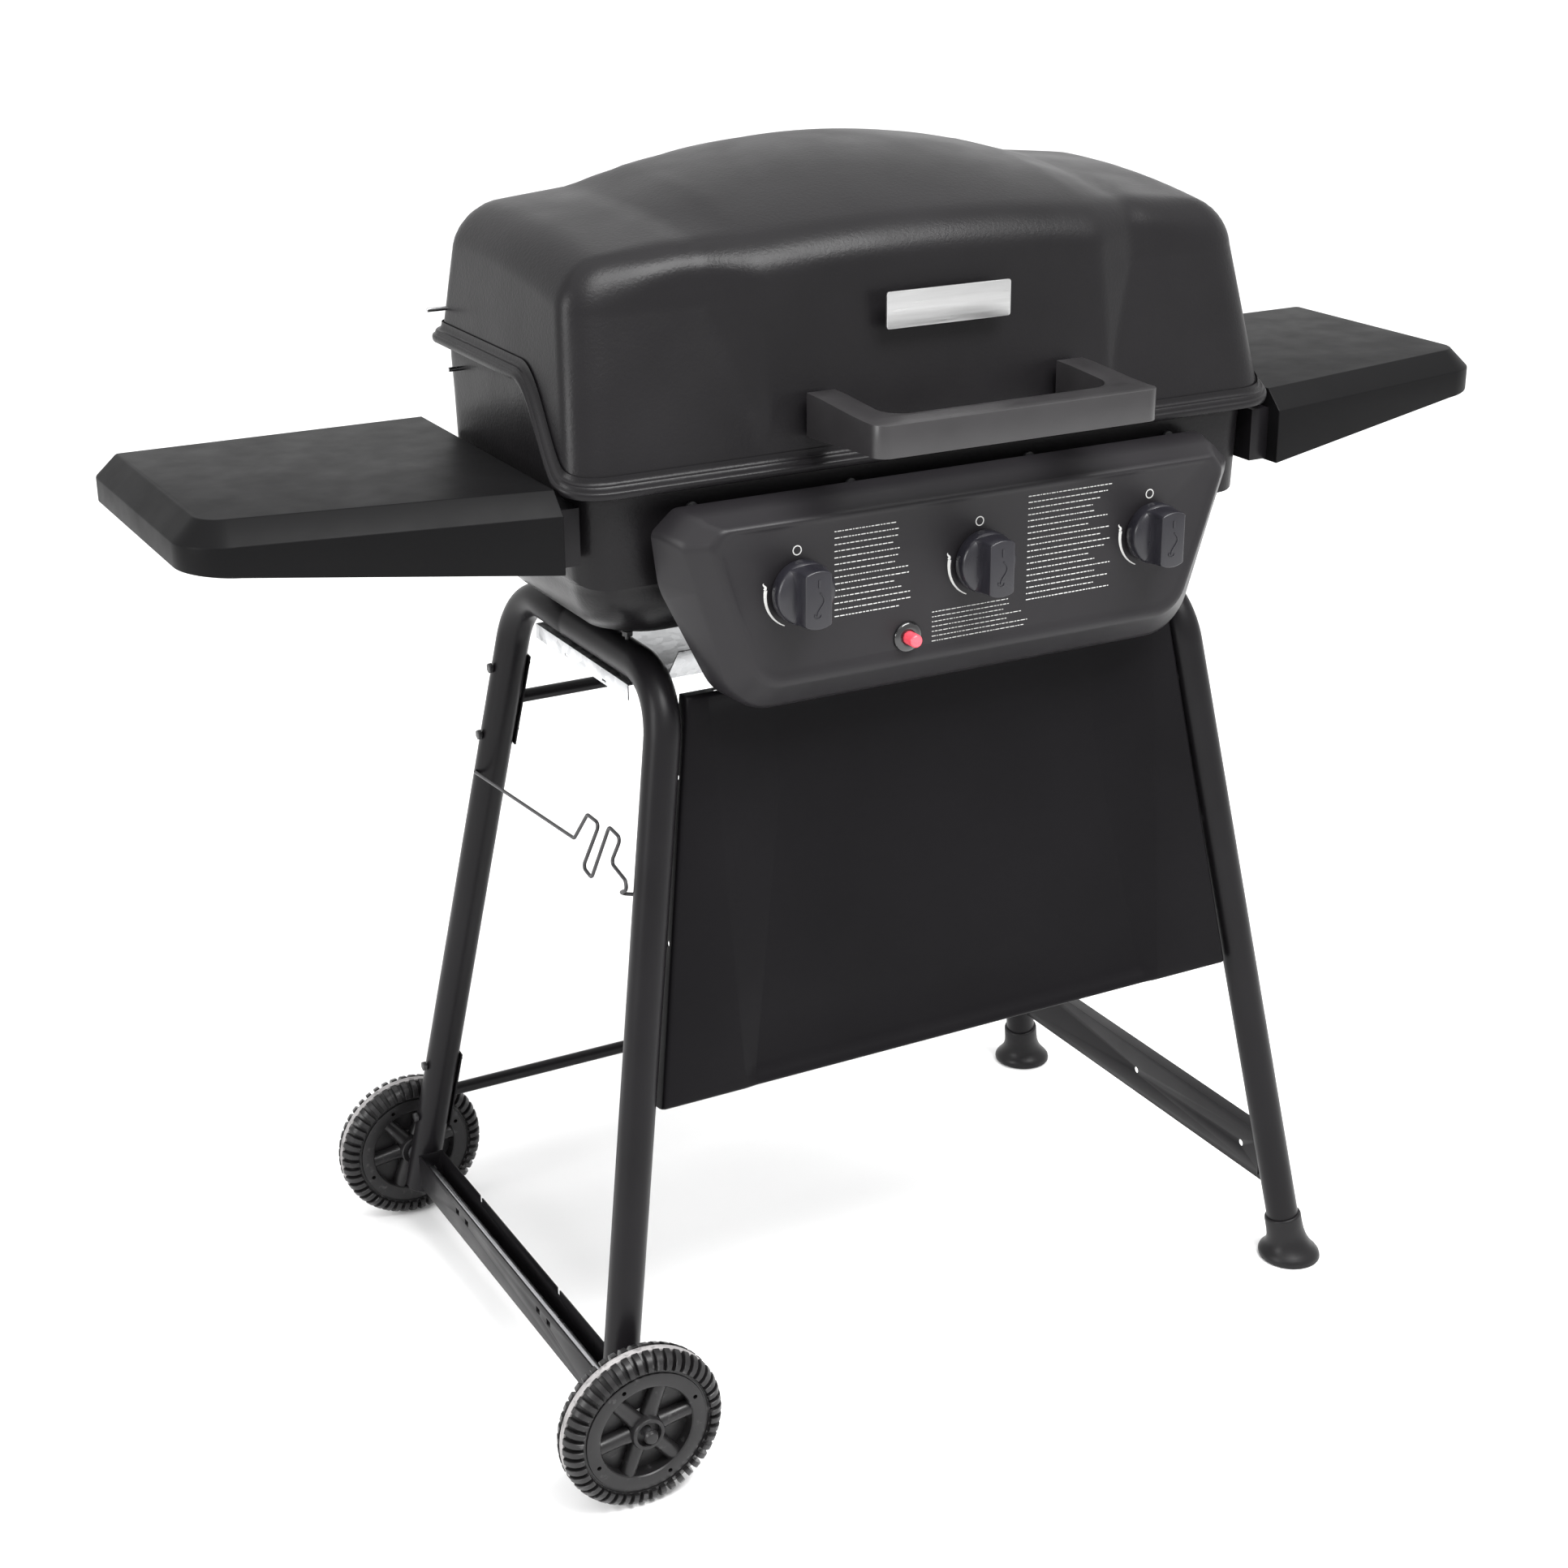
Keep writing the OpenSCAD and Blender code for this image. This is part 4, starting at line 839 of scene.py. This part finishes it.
def strip_mesh(points, widths, y):
    """Flat stroke of varying width in the XZ plane, a hair proud of the panel."""
    left, right = [], []
    for i, p in enumerate(points):
        ahead = (Vector(points[min(i + 1, len(points) - 1)]) - Vector(points[max(i - 1, 0)])).normalized()
        normal = Vector((-ahead.y, ahead.x))
        left.append((p[0] + normal.x * widths[i] / 2, p[1] + normal.y * widths[i] / 2))
        right.append((p[0] - normal.x * widths[i] / 2, p[1] - normal.y * widths[i] / 2))
    return rings([[Vector((x, y, z)) for x, z in left], [Vector((x, y, z)) for x, z in right],
                  [Vector((x, y - 0.12, z)) for x, z in right], [Vector((x, y - 0.12, z)) for x, z in left],
                  [Vector((x, y, z)) for x, z in left]], closed=False)


def word_rows(x0, x1, z_top, count, pitch, height):
    """Greeked print: rows of short bars that stand for words."""
    parts = []
    for row in range(count):
        x = x0
        end = lerp(x0, x1, rng.uniform(0.7, 1.0))
        z = z_top - row * pitch
        while x < end:
            length = rng.uniform(1.2, 4.8)
            stop = min(x + length, end)
            if stop - x > 0.8:
                parts.append(block_mesh((x, PANEL_Y - 0.12, z - height), (stop, PANEL_Y, z)))
            x = stop + 1.0
    return parts


def make_print():
    parts = []
    for x in KNOB_X:
        # ring for the off position
        circle = [(x + 3.8 * math.cos(a), KNOB_Z + 33 + 3.8 * math.sin(a))
                  for a in (2 * math.pi * k / 32 for k in range(33))]
        parts.append(strip_mesh(circle, [0.9] * 33, PANEL_Y))
        # tapering arc from low to high with a small flame at its wide end
        arc = [(x - 30 * math.cos(a), KNOB_Z - 2 - 30 * math.sin(a))
               for a in (math.radians(lerp(-10, 66, k / 16)) for k in range(17))]
        parts.append(strip_mesh(arc, [lerp(3.2, 0.7, k / 16) for k in range(17)], PANEL_Y))
        flame = [(x - 30.6 + 1.1 * math.sin(t * 5.5), KNOB_Z + 3.6 + 6.0 * t) for t in (k / 10 for k in range(11))]
        parts.append(strip_mesh(flame, [2.6 * (1 - k / 10) ** 0.8 + 0.25 for k in range(11)], PANEL_Y))
    parts += word_rows(-141, -66, 832, 14, 5.6, 0.8)
    parts += word_rows(49, 138, 836, 18, 5.4, 0.8)
    parts += word_rows(-46, 54, 748, 9, 4.3, 0.6)
    verts, faces = merged(parts)
    piece("panel_print", verts, faces, "cart", "panel_paint", INK)


make_print()


def make_knob(side, x):
    y0 = -227.2
    dial = lathe_mesh([(24.6, 0), (26.4, 0.6), (27, 2), (27, 10), (26.6, 12.2), (25.3, 13.8), (22.2, 15.4),
                       (15.5, 17.0), (0, 17.6)], (x, y0, KNOB_Z), (0, -1, 0), 96)
    body = side + "_control"
    node = side + "_knob"
    obj = piece(side + "_knob_dial", *dial, body, "knob_plastic", LOOKS["knob_plastic"], (node,), 32)
    half_w, half_h = 12.4, 25.4
    outline = []
    for s in (1, -1):
        top = [(lerp(half_w, -half_w, k / 12) * s, s * math.sqrt(half_h ** 2 - (lerp(half_w, -half_w, k / 12)) ** 2))
               for k in range(13)]
        outline += top

    def grip_ring(h, grow, lean):
        ring = []
        for a, b in outline:
            ring.append(Vector((x + a * grow, y0 - h, KNOB_Z + b * lean)))
        return ring

    stack = [grip_ring(10, 1.34, 1.0), grip_ring(15, 1.12, 1.0), grip_ring(19, 1.02, 1.0), grip_ring(24, 1.0, 0.995),
             grip_ring(33.0, 0.97, 0.975)]
    verts, faces = rings(stack, start_cap=True, end_cap=True)
    grip = piece(side + "_knob_grip", verts, faces, body, "knob_plastic", LOOKS["knob_plastic"], (), 32)
    soften(grip, 1.3, 3, 45)
    y_face = y0 - 33.0
    tick = block_mesh((x - 0.9, y_face - 0.6, KNOB_Z + 11), (x + 0.9, y_face + 0.3, KNOB_Z + 17.5))
    hook = [(x + 0.6 + 4.2 * math.sin(t * 4.6) * (1 - 0.35 * t), y_face - 0.25, KNOB_Z + 6.5 - 19 * t)
            for t in (k / 20 for k in range(21))]
    curl = [(x - 1.4 - 3.0 * math.cos(a), y_face - 0.25, KNOB_Z - 12.2 + 2.6 * math.sin(a))
            for a in (math.radians(lerp(180, 390, k / 12)) for k in range(13))]
    parts = [tick, tube_mesh(hook, 0.55, 8), tube_mesh(curl, 0.5, 8)]
    verts, faces = merged(parts)
    piece(side + "_knob_marks", verts, faces, body, "knob_plastic", LOOKS["knob_plastic"], (), 40)
    return obj


for knob_side, knob_x in zip(("left", "centre", "right"), KNOB_X):
    make_knob(knob_side, knob_x)

bezel = lathe_mesh([(6.2, -30), (9.6, -30), (9.6, 0), (13.4, 0), (13.5, 0.6), (13.2, 1.8), (12, 2.9), (9.6, 3.8),
                    (7.4, 4.0), (6.4, 3.6), (6.2, 2.6)], (IGNITOR_X, PANEL_Y, IGNITOR_Z), (0, -1, 0), 64)
verts, faces = bezel
piece("ignitor_bezel", verts, faces[:-2], "cart", "knob_plastic", GLOSS, ("ignitor_body",), 35)
button = lathe_mesh([(0, -15), (5.8, -15), (5.8, 14.4), (5.5, 15.4), (4.8, 16.0), (0, 16.0)],
                    (IGNITOR_X, PANEL_Y, IGNITOR_Z), (0, -1, 0), 48)
piece("ignitor_press_button", *button, "ignitor_press", "button_red", LOOKS["button_red"], ("ignitor_button",), 35)


# ---------- cart tubes, feet and front panel ----------

SPLAY, LEAN = math.radians(9.4), math.radians(7.4)
TUBE_R, TOP_Z, TOP_X, CORNER_Y, BEND_R = 15.9, 703, 264, 153.5, 60


def leg_axis(side, front, z):
    """Point of a leg's axis at world height z."""
    s = (TOP_Z - z) / math.cos(SPLAY)
    return Vector((side * (TOP_X + s * math.sin(SPLAY)), (-1 if front else 1) * (CORNER_Y + s * math.tan(LEAN)), z))


def make_leg(name, side, front, end_z):
    turn = -1 if front else 1
    start = -33 if front else 33
    corner = Vector((side * TOP_X, turn * CORNER_Y, TOP_Z))
    path = bend_path([(side * TOP_X, -start * turn, TOP_Z), corner, leg_axis(side, front, end_z)], BEND_R, 14)
    if front:
        path = [Vector((side * TOP_X, 33, TOP_Z)), Vector((side * TOP_X, 32.2, TOP_Z)),
                Vector((side * TOP_X, 29, TOP_Z))] + path[1:]
        radii = [15.2, 16.6, TUBE_R] + [TUBE_R] * (len(path) - 3)
    else:
        # the reduced end slides into the front tube
        path = [Vector((side * TOP_X, y, TOP_Z)) for y in (-7, 34.6, 37.4)] + path[1:]
        radii = [14.2, 14.2, TUBE_R] + [TUBE_R] * (len(path) - 3)
    # a pressed-in end plug at the bottom
    down = (path[-1] - path[-2]).normalized()
    path += [path[-1] + down * 0.8, path[-1] + down * 0.8]
    path[-1] = path[-1] + down * 0.5
    radii += [TUBE_R - 0.7, TUBE_R - 2.6]
    verts, faces = tube_mesh(path, radii, 40)
    piece(name + "_tube", verts, faces, "cart", "smooth_black_paint", LOOKS["smooth_black_paint"], (name,), 40)


for leg_name, leg_side, leg_front, leg_end in (
        ("left_front_leg", -1, True, 49.5), ("left_rear_leg", -1, False, 49.5),
        ("right_front_leg", 1, True, 9.5), ("right_rear_leg", 1, False, 9.5)):
    make_leg(leg_name, leg_side, leg_front, leg_end)


def make_foot(name, front):
    """Flared foot: its base lies flat, its collar follows the leg."""
    axis = (leg_axis(1, front, 100) - leg_axis(1, front, 0)).normalized()
    stack = []
    for h, r in ((0, 27.5), (0, 29.4), (1.2, 30.8), (3.5, 31), (5.5, 30.7), (8, 29.2), (10.5, 26.8), (13.5, 24.1),
                 (17, 21.9), (21, 20.2), (26, 19.1), (33, 18.6), (44.5, 18.5), (46.2, 18.1), (46.9, 17.2),
                 (46.9, 15.9)):
        normal = Vector((0, 0, 1)).lerp(axis, smoothstep((h - 6) / 22)).normalized()
        u = Vector((1, 0, 0))
        u = (u - normal * u.dot(normal)).normalized()
        v = normal.cross(u)
        centre = leg_axis(1, front, h)
        stack.append([centre + (u * math.cos(a) + v * math.sin(a)) * r
                      for a in (2 * math.pi * k / 56 for k in range(56))])
    verts, faces = rings(stack, start_cap=True, end_cap=True)
    piece(name + "_flare", verts, faces, "cart", "foot_plastic", LOOKS["foot_plastic"], (name,), 40)


make_foot("right_front_foot", True)
make_foot("right_rear_foot", False)


PANEL_TOP, PANEL_TILT = 688, math.atan(math.tan(LEAN) / math.cos(SPLAY))


def in_panel(x, out, down):
    """Point of the front panel: out is towards the user from the leg plane, down is along the panel."""
    base = leg_axis(1, True, PANEL_TOP)
    c, s = math.cos(PANEL_TILT), math.sin(PANEL_TILT)
    return Vector((x, base.y - out * c - down * s, PANEL_TOP + out * s - down * c))


def make_front_panel():
    stack = []

    def row(down, face=8.0, flat=False):
        t = down / 360
        half = lerp(249, 304, t)
        outer = lerp(230, 222, t)
        inner = lerp(165, 210, max(0, (down - 105) / 255))
        sink = 1.5 + 7.5 * smoothstep(down / 18) * smoothstep((360 - down) / 20)
        right = [(inner - 1.2, face - sink), (inner + 1.2, face - sink + 2.4 * sink / (outer - inner) / 2),
                 (outer - 1.2, face - 1.2 * sink / (outer - inner)), (outer + 1.2, face), (half - 4.5, face)]
        right += [(half - 4.5 + 4.5 * math.sin(a), face - 4.5 + 4.5 * math.cos(a))
                  for a in (math.pi / 2 * k / 6 for k in range(1, 7))]
        right += [(half, -8)]
        points = [(-x, o) for x, o in right][::-1] + [(0, face - sink)] + right
        return [in_panel(x, -8 if flat else o, down) for x, o in points]

    stack.append(row(0, 8, True))
    stack.append(row(0, 4.5))
    for k in range(1, 5):
        a = math.pi / 2 * k / 4
        stack.append(row(4.0 * (1 - math.cos(a)), 4 + 4 * math.sin(a)))
    for down in (10, 14, 20, 30, 70, 98, 103, 105, 107, 112, 150, 200, 250, 300, 340, 346, 351):
        stack.append(row(down))
    for k in range(0, 5):
        a = math.pi / 2 * k / 4
        stack.append(row(356 + 4.0 * math.sin(a), 4 + 4 * math.cos(a)))
    stack.append(row(360, 8, True))
    verts, faces = rings(stack, closed=False)
    # the front panel wears the darker copy of the smooth black paint: painted shade
    obj = piece("front_panel_sheet", verts, faces, "cart", "smooth_black_paint", SHADED_SMOOTH_PAINT, ("front_panel",), 45)
    shell(obj, 1.4)
    holes = [block_mesh((x, -4, -6), (x + 11, 3, 6)) for x in (-222, -205)]
    holes = [([in_panel(v.x, -v.y, -v.z) for v in verts], faces) for verts, faces in holes]
    holes += [lathe_mesh([(2.6, -16), (2.6, 16)], in_panel(side * lerp(249, 304, d / 360), -2, d), (1, 0, 0), 16)
              for side in (-1, 1) for d in (70, 214)]
    return cut(obj, holes)


make_front_panel()


# ---------- wheels ----------

WHEEL_X, WHEEL_Z, AXLE_R = -367.8, 76, 5.2


def turned(profile, centre, steps=96):
    """Closed ring of revolution about the axle; profile is a loop of (radius, height) points."""
    stack = []
    for r, h in list(profile) + [profile[0]]:
        stack.append([Vector((centre.x + r * math.cos(a), centre.y - h, centre.z + r * math.sin(a)))
                      for a in (2 * math.pi * k / steps for k in range(steps))])
    return rings(stack)


def make_wheel(name, y, out):
    """out is -1 for the wheel whose open face looks towards the user, 1 for the other."""
    body = name + "_body"
    centre = Vector((WHEEL_X, y, WHEEL_Z))
    paint = LOOKS["wheel_plastic"]
    half = [(44.0, 3.0), (44.0, 13.6), (44.9, 14.8), (46.2, 15.2), (56.8, 15.2), (57.4, 14.9), (57.8, 13.6),
            (59.2, 13.6), (59.6, 14.7), (60.4, 14.7), (63.5, 12.8), (67.0, 11.0), (69.5, 8.8), (71.4, 6.2),
            (73.0, 4.0)]
    loop = half + [(r, -h) for r, h in half[::-1]]
    rim = piece(name + "_rim", *turned(loop, centre, 120), body, "wheel_plastic", paint, (name,), 35)
    cut(rim, [lathe_mesh([(2.1, -22), (2.1, 22)],
                         centre + Vector((51 * math.cos(a), 0, 51 * math.sin(a))), (0, 1, 0), 14)
              for a in (math.radians(24 + 90 * k) for k in range(4))])
    lug = [(60.8, 14.0), (61.2, 17.4), (62.4, 18.2), (66.4, 17.8), (70.6, 15.4), (73.8, 11.4), (75.4, 7.2),
           (75.95, 4.9), (75.6, 3.9), (71.4, 3.7), (68.4, 7.8), (64.6, 10.6)]
    parts = []
    count = 46
    for face in (1, -1):
        for k in range(count):
            mid = 2 * math.pi * (k + (0.5 if face < 0 else 0)) / count
            ring_pair = []
            for side, share in ((-1, 1.0), (-1, 0.86), (1, 0.86), (1, 1.0)):
                ring = []
                for r, h in lug:
                    top = r if share == 0.86 else r - 0.5
                    half_w = math.radians(2.25) * (1.0 if share == 1.0 else 0.84)
                    depth = h if share == 0.86 else h - 0.45 * min(1, max(0, (h - 3.8) / 3))
                    a = mid + side * half_w
                    ring.append(Vector((centre.x + top * math.cos(a), centre.y - face * depth,
                                        centre.z + top * math.sin(a))))
                ring_pair.append(ring)
            parts.append(rings(ring_pair, start_cap=True, end_cap=True))
    verts, faces = merged(parts)
    piece(name + "_lugs", verts, faces, body, "wheel_plastic", paint, (), 30)
    band = [(73.0, -3.6), (74.7, -3.6), (75.3, -2.6), (75.3, -0.6), (74.8, 0), (75.3, 0.6), (75.3, 2.6), (74.7, 3.6),
            (73.0, 3.6)]
    piece(name + "_band", *turned(band, centre, 120), body, "wheel_plastic", TREAD, (), 35)
    # dished web, hub and six round spokes
    hub = [(AXLE_R, -19.2), (14.2, -19.2), (15.4, -18.2), (15.6, -4.0), (17.4, -2.2), (44.6, -2.2), (44.6, 2.2),
           (17.4, 2.2), (15.6, 4.0), (15.4, 17.6), (14.6, 18.8), (12.8, 19.2), (11.6, 18.8), (11.2, 17.8),
           (11.2, 12.0), (AXLE_R, 12.0)]
    hub = [(r, -out * h) for r, h in hub]
    piece(name + "_hub", *turned(hub, centre, 64), body, "wheel_plastic", paint, (), 35)
    parts = []
    for k in range(6):
        a = math.radians(60 * k + 8)
        ray = Vector((math.cos(a), 0, math.sin(a)))
        for lift in (6.2, -6.2):
            inner = centre + ray * 14.6 + Vector((0, lift, 0))
            outer = centre + ray * 45.2 + Vector((0, lift, 0))
            path = [inner, inner.lerp(outer, 0.25), inner.lerp(outer, 0.8), outer]
            parts.append(tube_mesh(path, [8.2, 7.4, 7.2, 7.6], 20))
    verts, faces = merged(parts)
    piece(name + "_spokes", verts, faces, body, "wheel_plastic", paint, (), 35)


make_wheel("front_wheel", -280, -1)
make_wheel("rear_wheel", 280, 1)


# ---------- tank wire ----------

# (y, z) of the bends between the legs, from the rear to the front
WIRE = ((-54, 533), (-74, 562), (-99, 562), (-78, 515), (-97, 512), (-118, 566), (-142, 564), (-130, 538),
        (-160, 533), (-165, 526), (-149, 517))


def make_tank_wire():
    """Zigzag hanger between the two left legs, in the leaning plane just outside them."""
    def beside(y, z):
        return Vector((-(TOP_X + (TOP_Z - z) * math.tan(SPLAY)) - TUBE_R - 2.1, y, z))
    rear = leg_axis(-1, False, 519)
    near = leg_axis(-1, True, 516)
    path = [rear, beside(rear.y, 519)] + [beside(y, z) for y, z in WIRE]
    path += [near + Vector((-3, 18, 1)), near + Vector((0, 8, 1))]
    verts, faces = tube_mesh(bend_path(path, 4.5, 6), 1.7, 12)
    piece("tank_wire", verts, faces, "cart", "wire_black", LOOKS["wire_black"], ("tank_retainer_wire",), 50)


make_tank_wire()


# ---------- parts that keep their CAD shape, with broken edges ----------

def refine(node, width):
    """Copy of a CAD node whose hard edges are slightly rounded."""
    source = frame["nodes"][node]
    row = [r for r in frame["record"]["subparts"] if r["node"] == node][0]
    verts = [v.co / MM for v in source.data.vertices]
    faces = [tuple(p.vertices) for p in source.data.polygons]
    slot = row["material_slot"]
    obj = piece(node + "_finish", verts, faces, source["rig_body"], slot, LOOKS[slot], (node,))
    bm = bmesh.new()
    bm.from_mesh(obj.data)
    bmesh.ops.dissolve_limit(bm, angle_limit=math.radians(1), verts=bm.verts, edges=bm.edges)
    bm.to_mesh(obj.data)
    bm.free()
    return soften(obj, width, 2, 40)


for refined_node, refined_width in (
        ("left_lower_brace", 0.7), ("right_lower_brace", 0.7), ("upper_rear_rail", 0.5), ("lower_rear_rail", 0.5),
        ("heat_shield", 0.3), ("shelf_brackets", 0.6), ("firebox_hinge_brackets", 0.5), ("lid_hinge_brackets", 0.5),
        ("frame_bolts", 0.4), ("axle_caps", 0.8), ("panel_screws", 0.3), ("manifold", 0.5), ("heat_tents", 0.4),
        ("grease_cup", 0.5)):
    refine(refined_node, refined_width)


# ---------- floor, light and camera ----------

def stage_material(name, colour, rough):
    look = Look(name, colour, rough)
    look.tone(0.01, 3).gloss(0.02, 5)
    return look.mat


def make_stage():
    size = 60.0
    mesh = bpy.data.meshes.new("floor")
    mesh.from_pydata([(-size, -size, 0), (size, -size, 0), (size, size, 0), (-size, size, 0)], [], [(0, 1, 2, 3)])
    floor = bpy.data.objects.new("floor", mesh)
    floor.location.z = -0.0004
    mesh.materials.append(stage_material("pale floor", (0.88, 0.88, 0.88), 0.8))
    bpy.context.scene.collection.objects.link(floor)


def area_light(name, place, aim, size, power):
    lamp = bpy.data.lights.new(name, "AREA")
    lamp.shape = "RECTANGLE"
    lamp.size, lamp.size_y = size
    lamp.energy = power
    obj = bpy.data.objects.new(name, lamp)
    obj.location = place
    obj.rotation_euler = (Vector(aim) - Vector(place)).to_track_quat("-Z", "Y").to_euler()
    bpy.context.scene.collection.objects.link(obj)


def make_light():
    world = bpy.data.worlds.new("studio")
    world.use_nodes = True
    world.node_tree.nodes["Background"].inputs["Color"].default_value = (1.0, 1.0, 1.0, 1)
    world.node_tree.nodes["Background"].inputs["Strength"].default_value = 1.05
    bpy.context.scene.world = world
    sun = bpy.data.lights.new("high soft sun", "SUN")
    sun.energy = 1.0
    sun.angle = math.radians(70)
    high = bpy.data.objects.new("high soft sun", sun)
    high.rotation_euler = (math.radians(8), math.radians(-6), 0)
    bpy.context.scene.collection.objects.link(high)
    area_light("front softbox", (0.5, -1.9, 3.5), (0, 0, 0.95), (2.4, 1.4), 190)
    area_light("left softbox", (-3.6, -0.6, 1.9), (0, 0, 0.9), (1.2, 2.2), 80)


def make_camera():
    """The photograph's view: from the front left, looking down a little."""
    yaw, pitch, roll = math.radians(28.41), math.radians(21.56), math.radians(-0.44)
    cam = bpy.data.cameras.new("camera")
    cam.sensor_width = 36
    cam.lens = 58.19
    cam.clip_end = 200
    obj = bpy.data.objects.new("camera", cam)
    obj.location = (-1.1320, -1.9648, 1.4018)
    forward = Vector((math.sin(yaw) * math.cos(pitch), math.cos(yaw) * math.cos(pitch), -math.sin(pitch)))
    right = Vector((math.cos(yaw), -math.sin(yaw), 0))
    up = right.cross(forward)
    right_r = right * math.cos(roll) + up * math.sin(roll)
    up_r = up * math.cos(roll) - right * math.sin(roll)
    turn = Matrix((right_r, up_r, -forward)).transposed()
    obj.rotation_euler = turn.to_euler()
    bpy.context.scene.collection.objects.link(obj)
    bpy.context.scene.camera = obj
    bpy.context.scene.view_settings.view_transform = "Standard"


make_stage()
make_light()
make_camera()
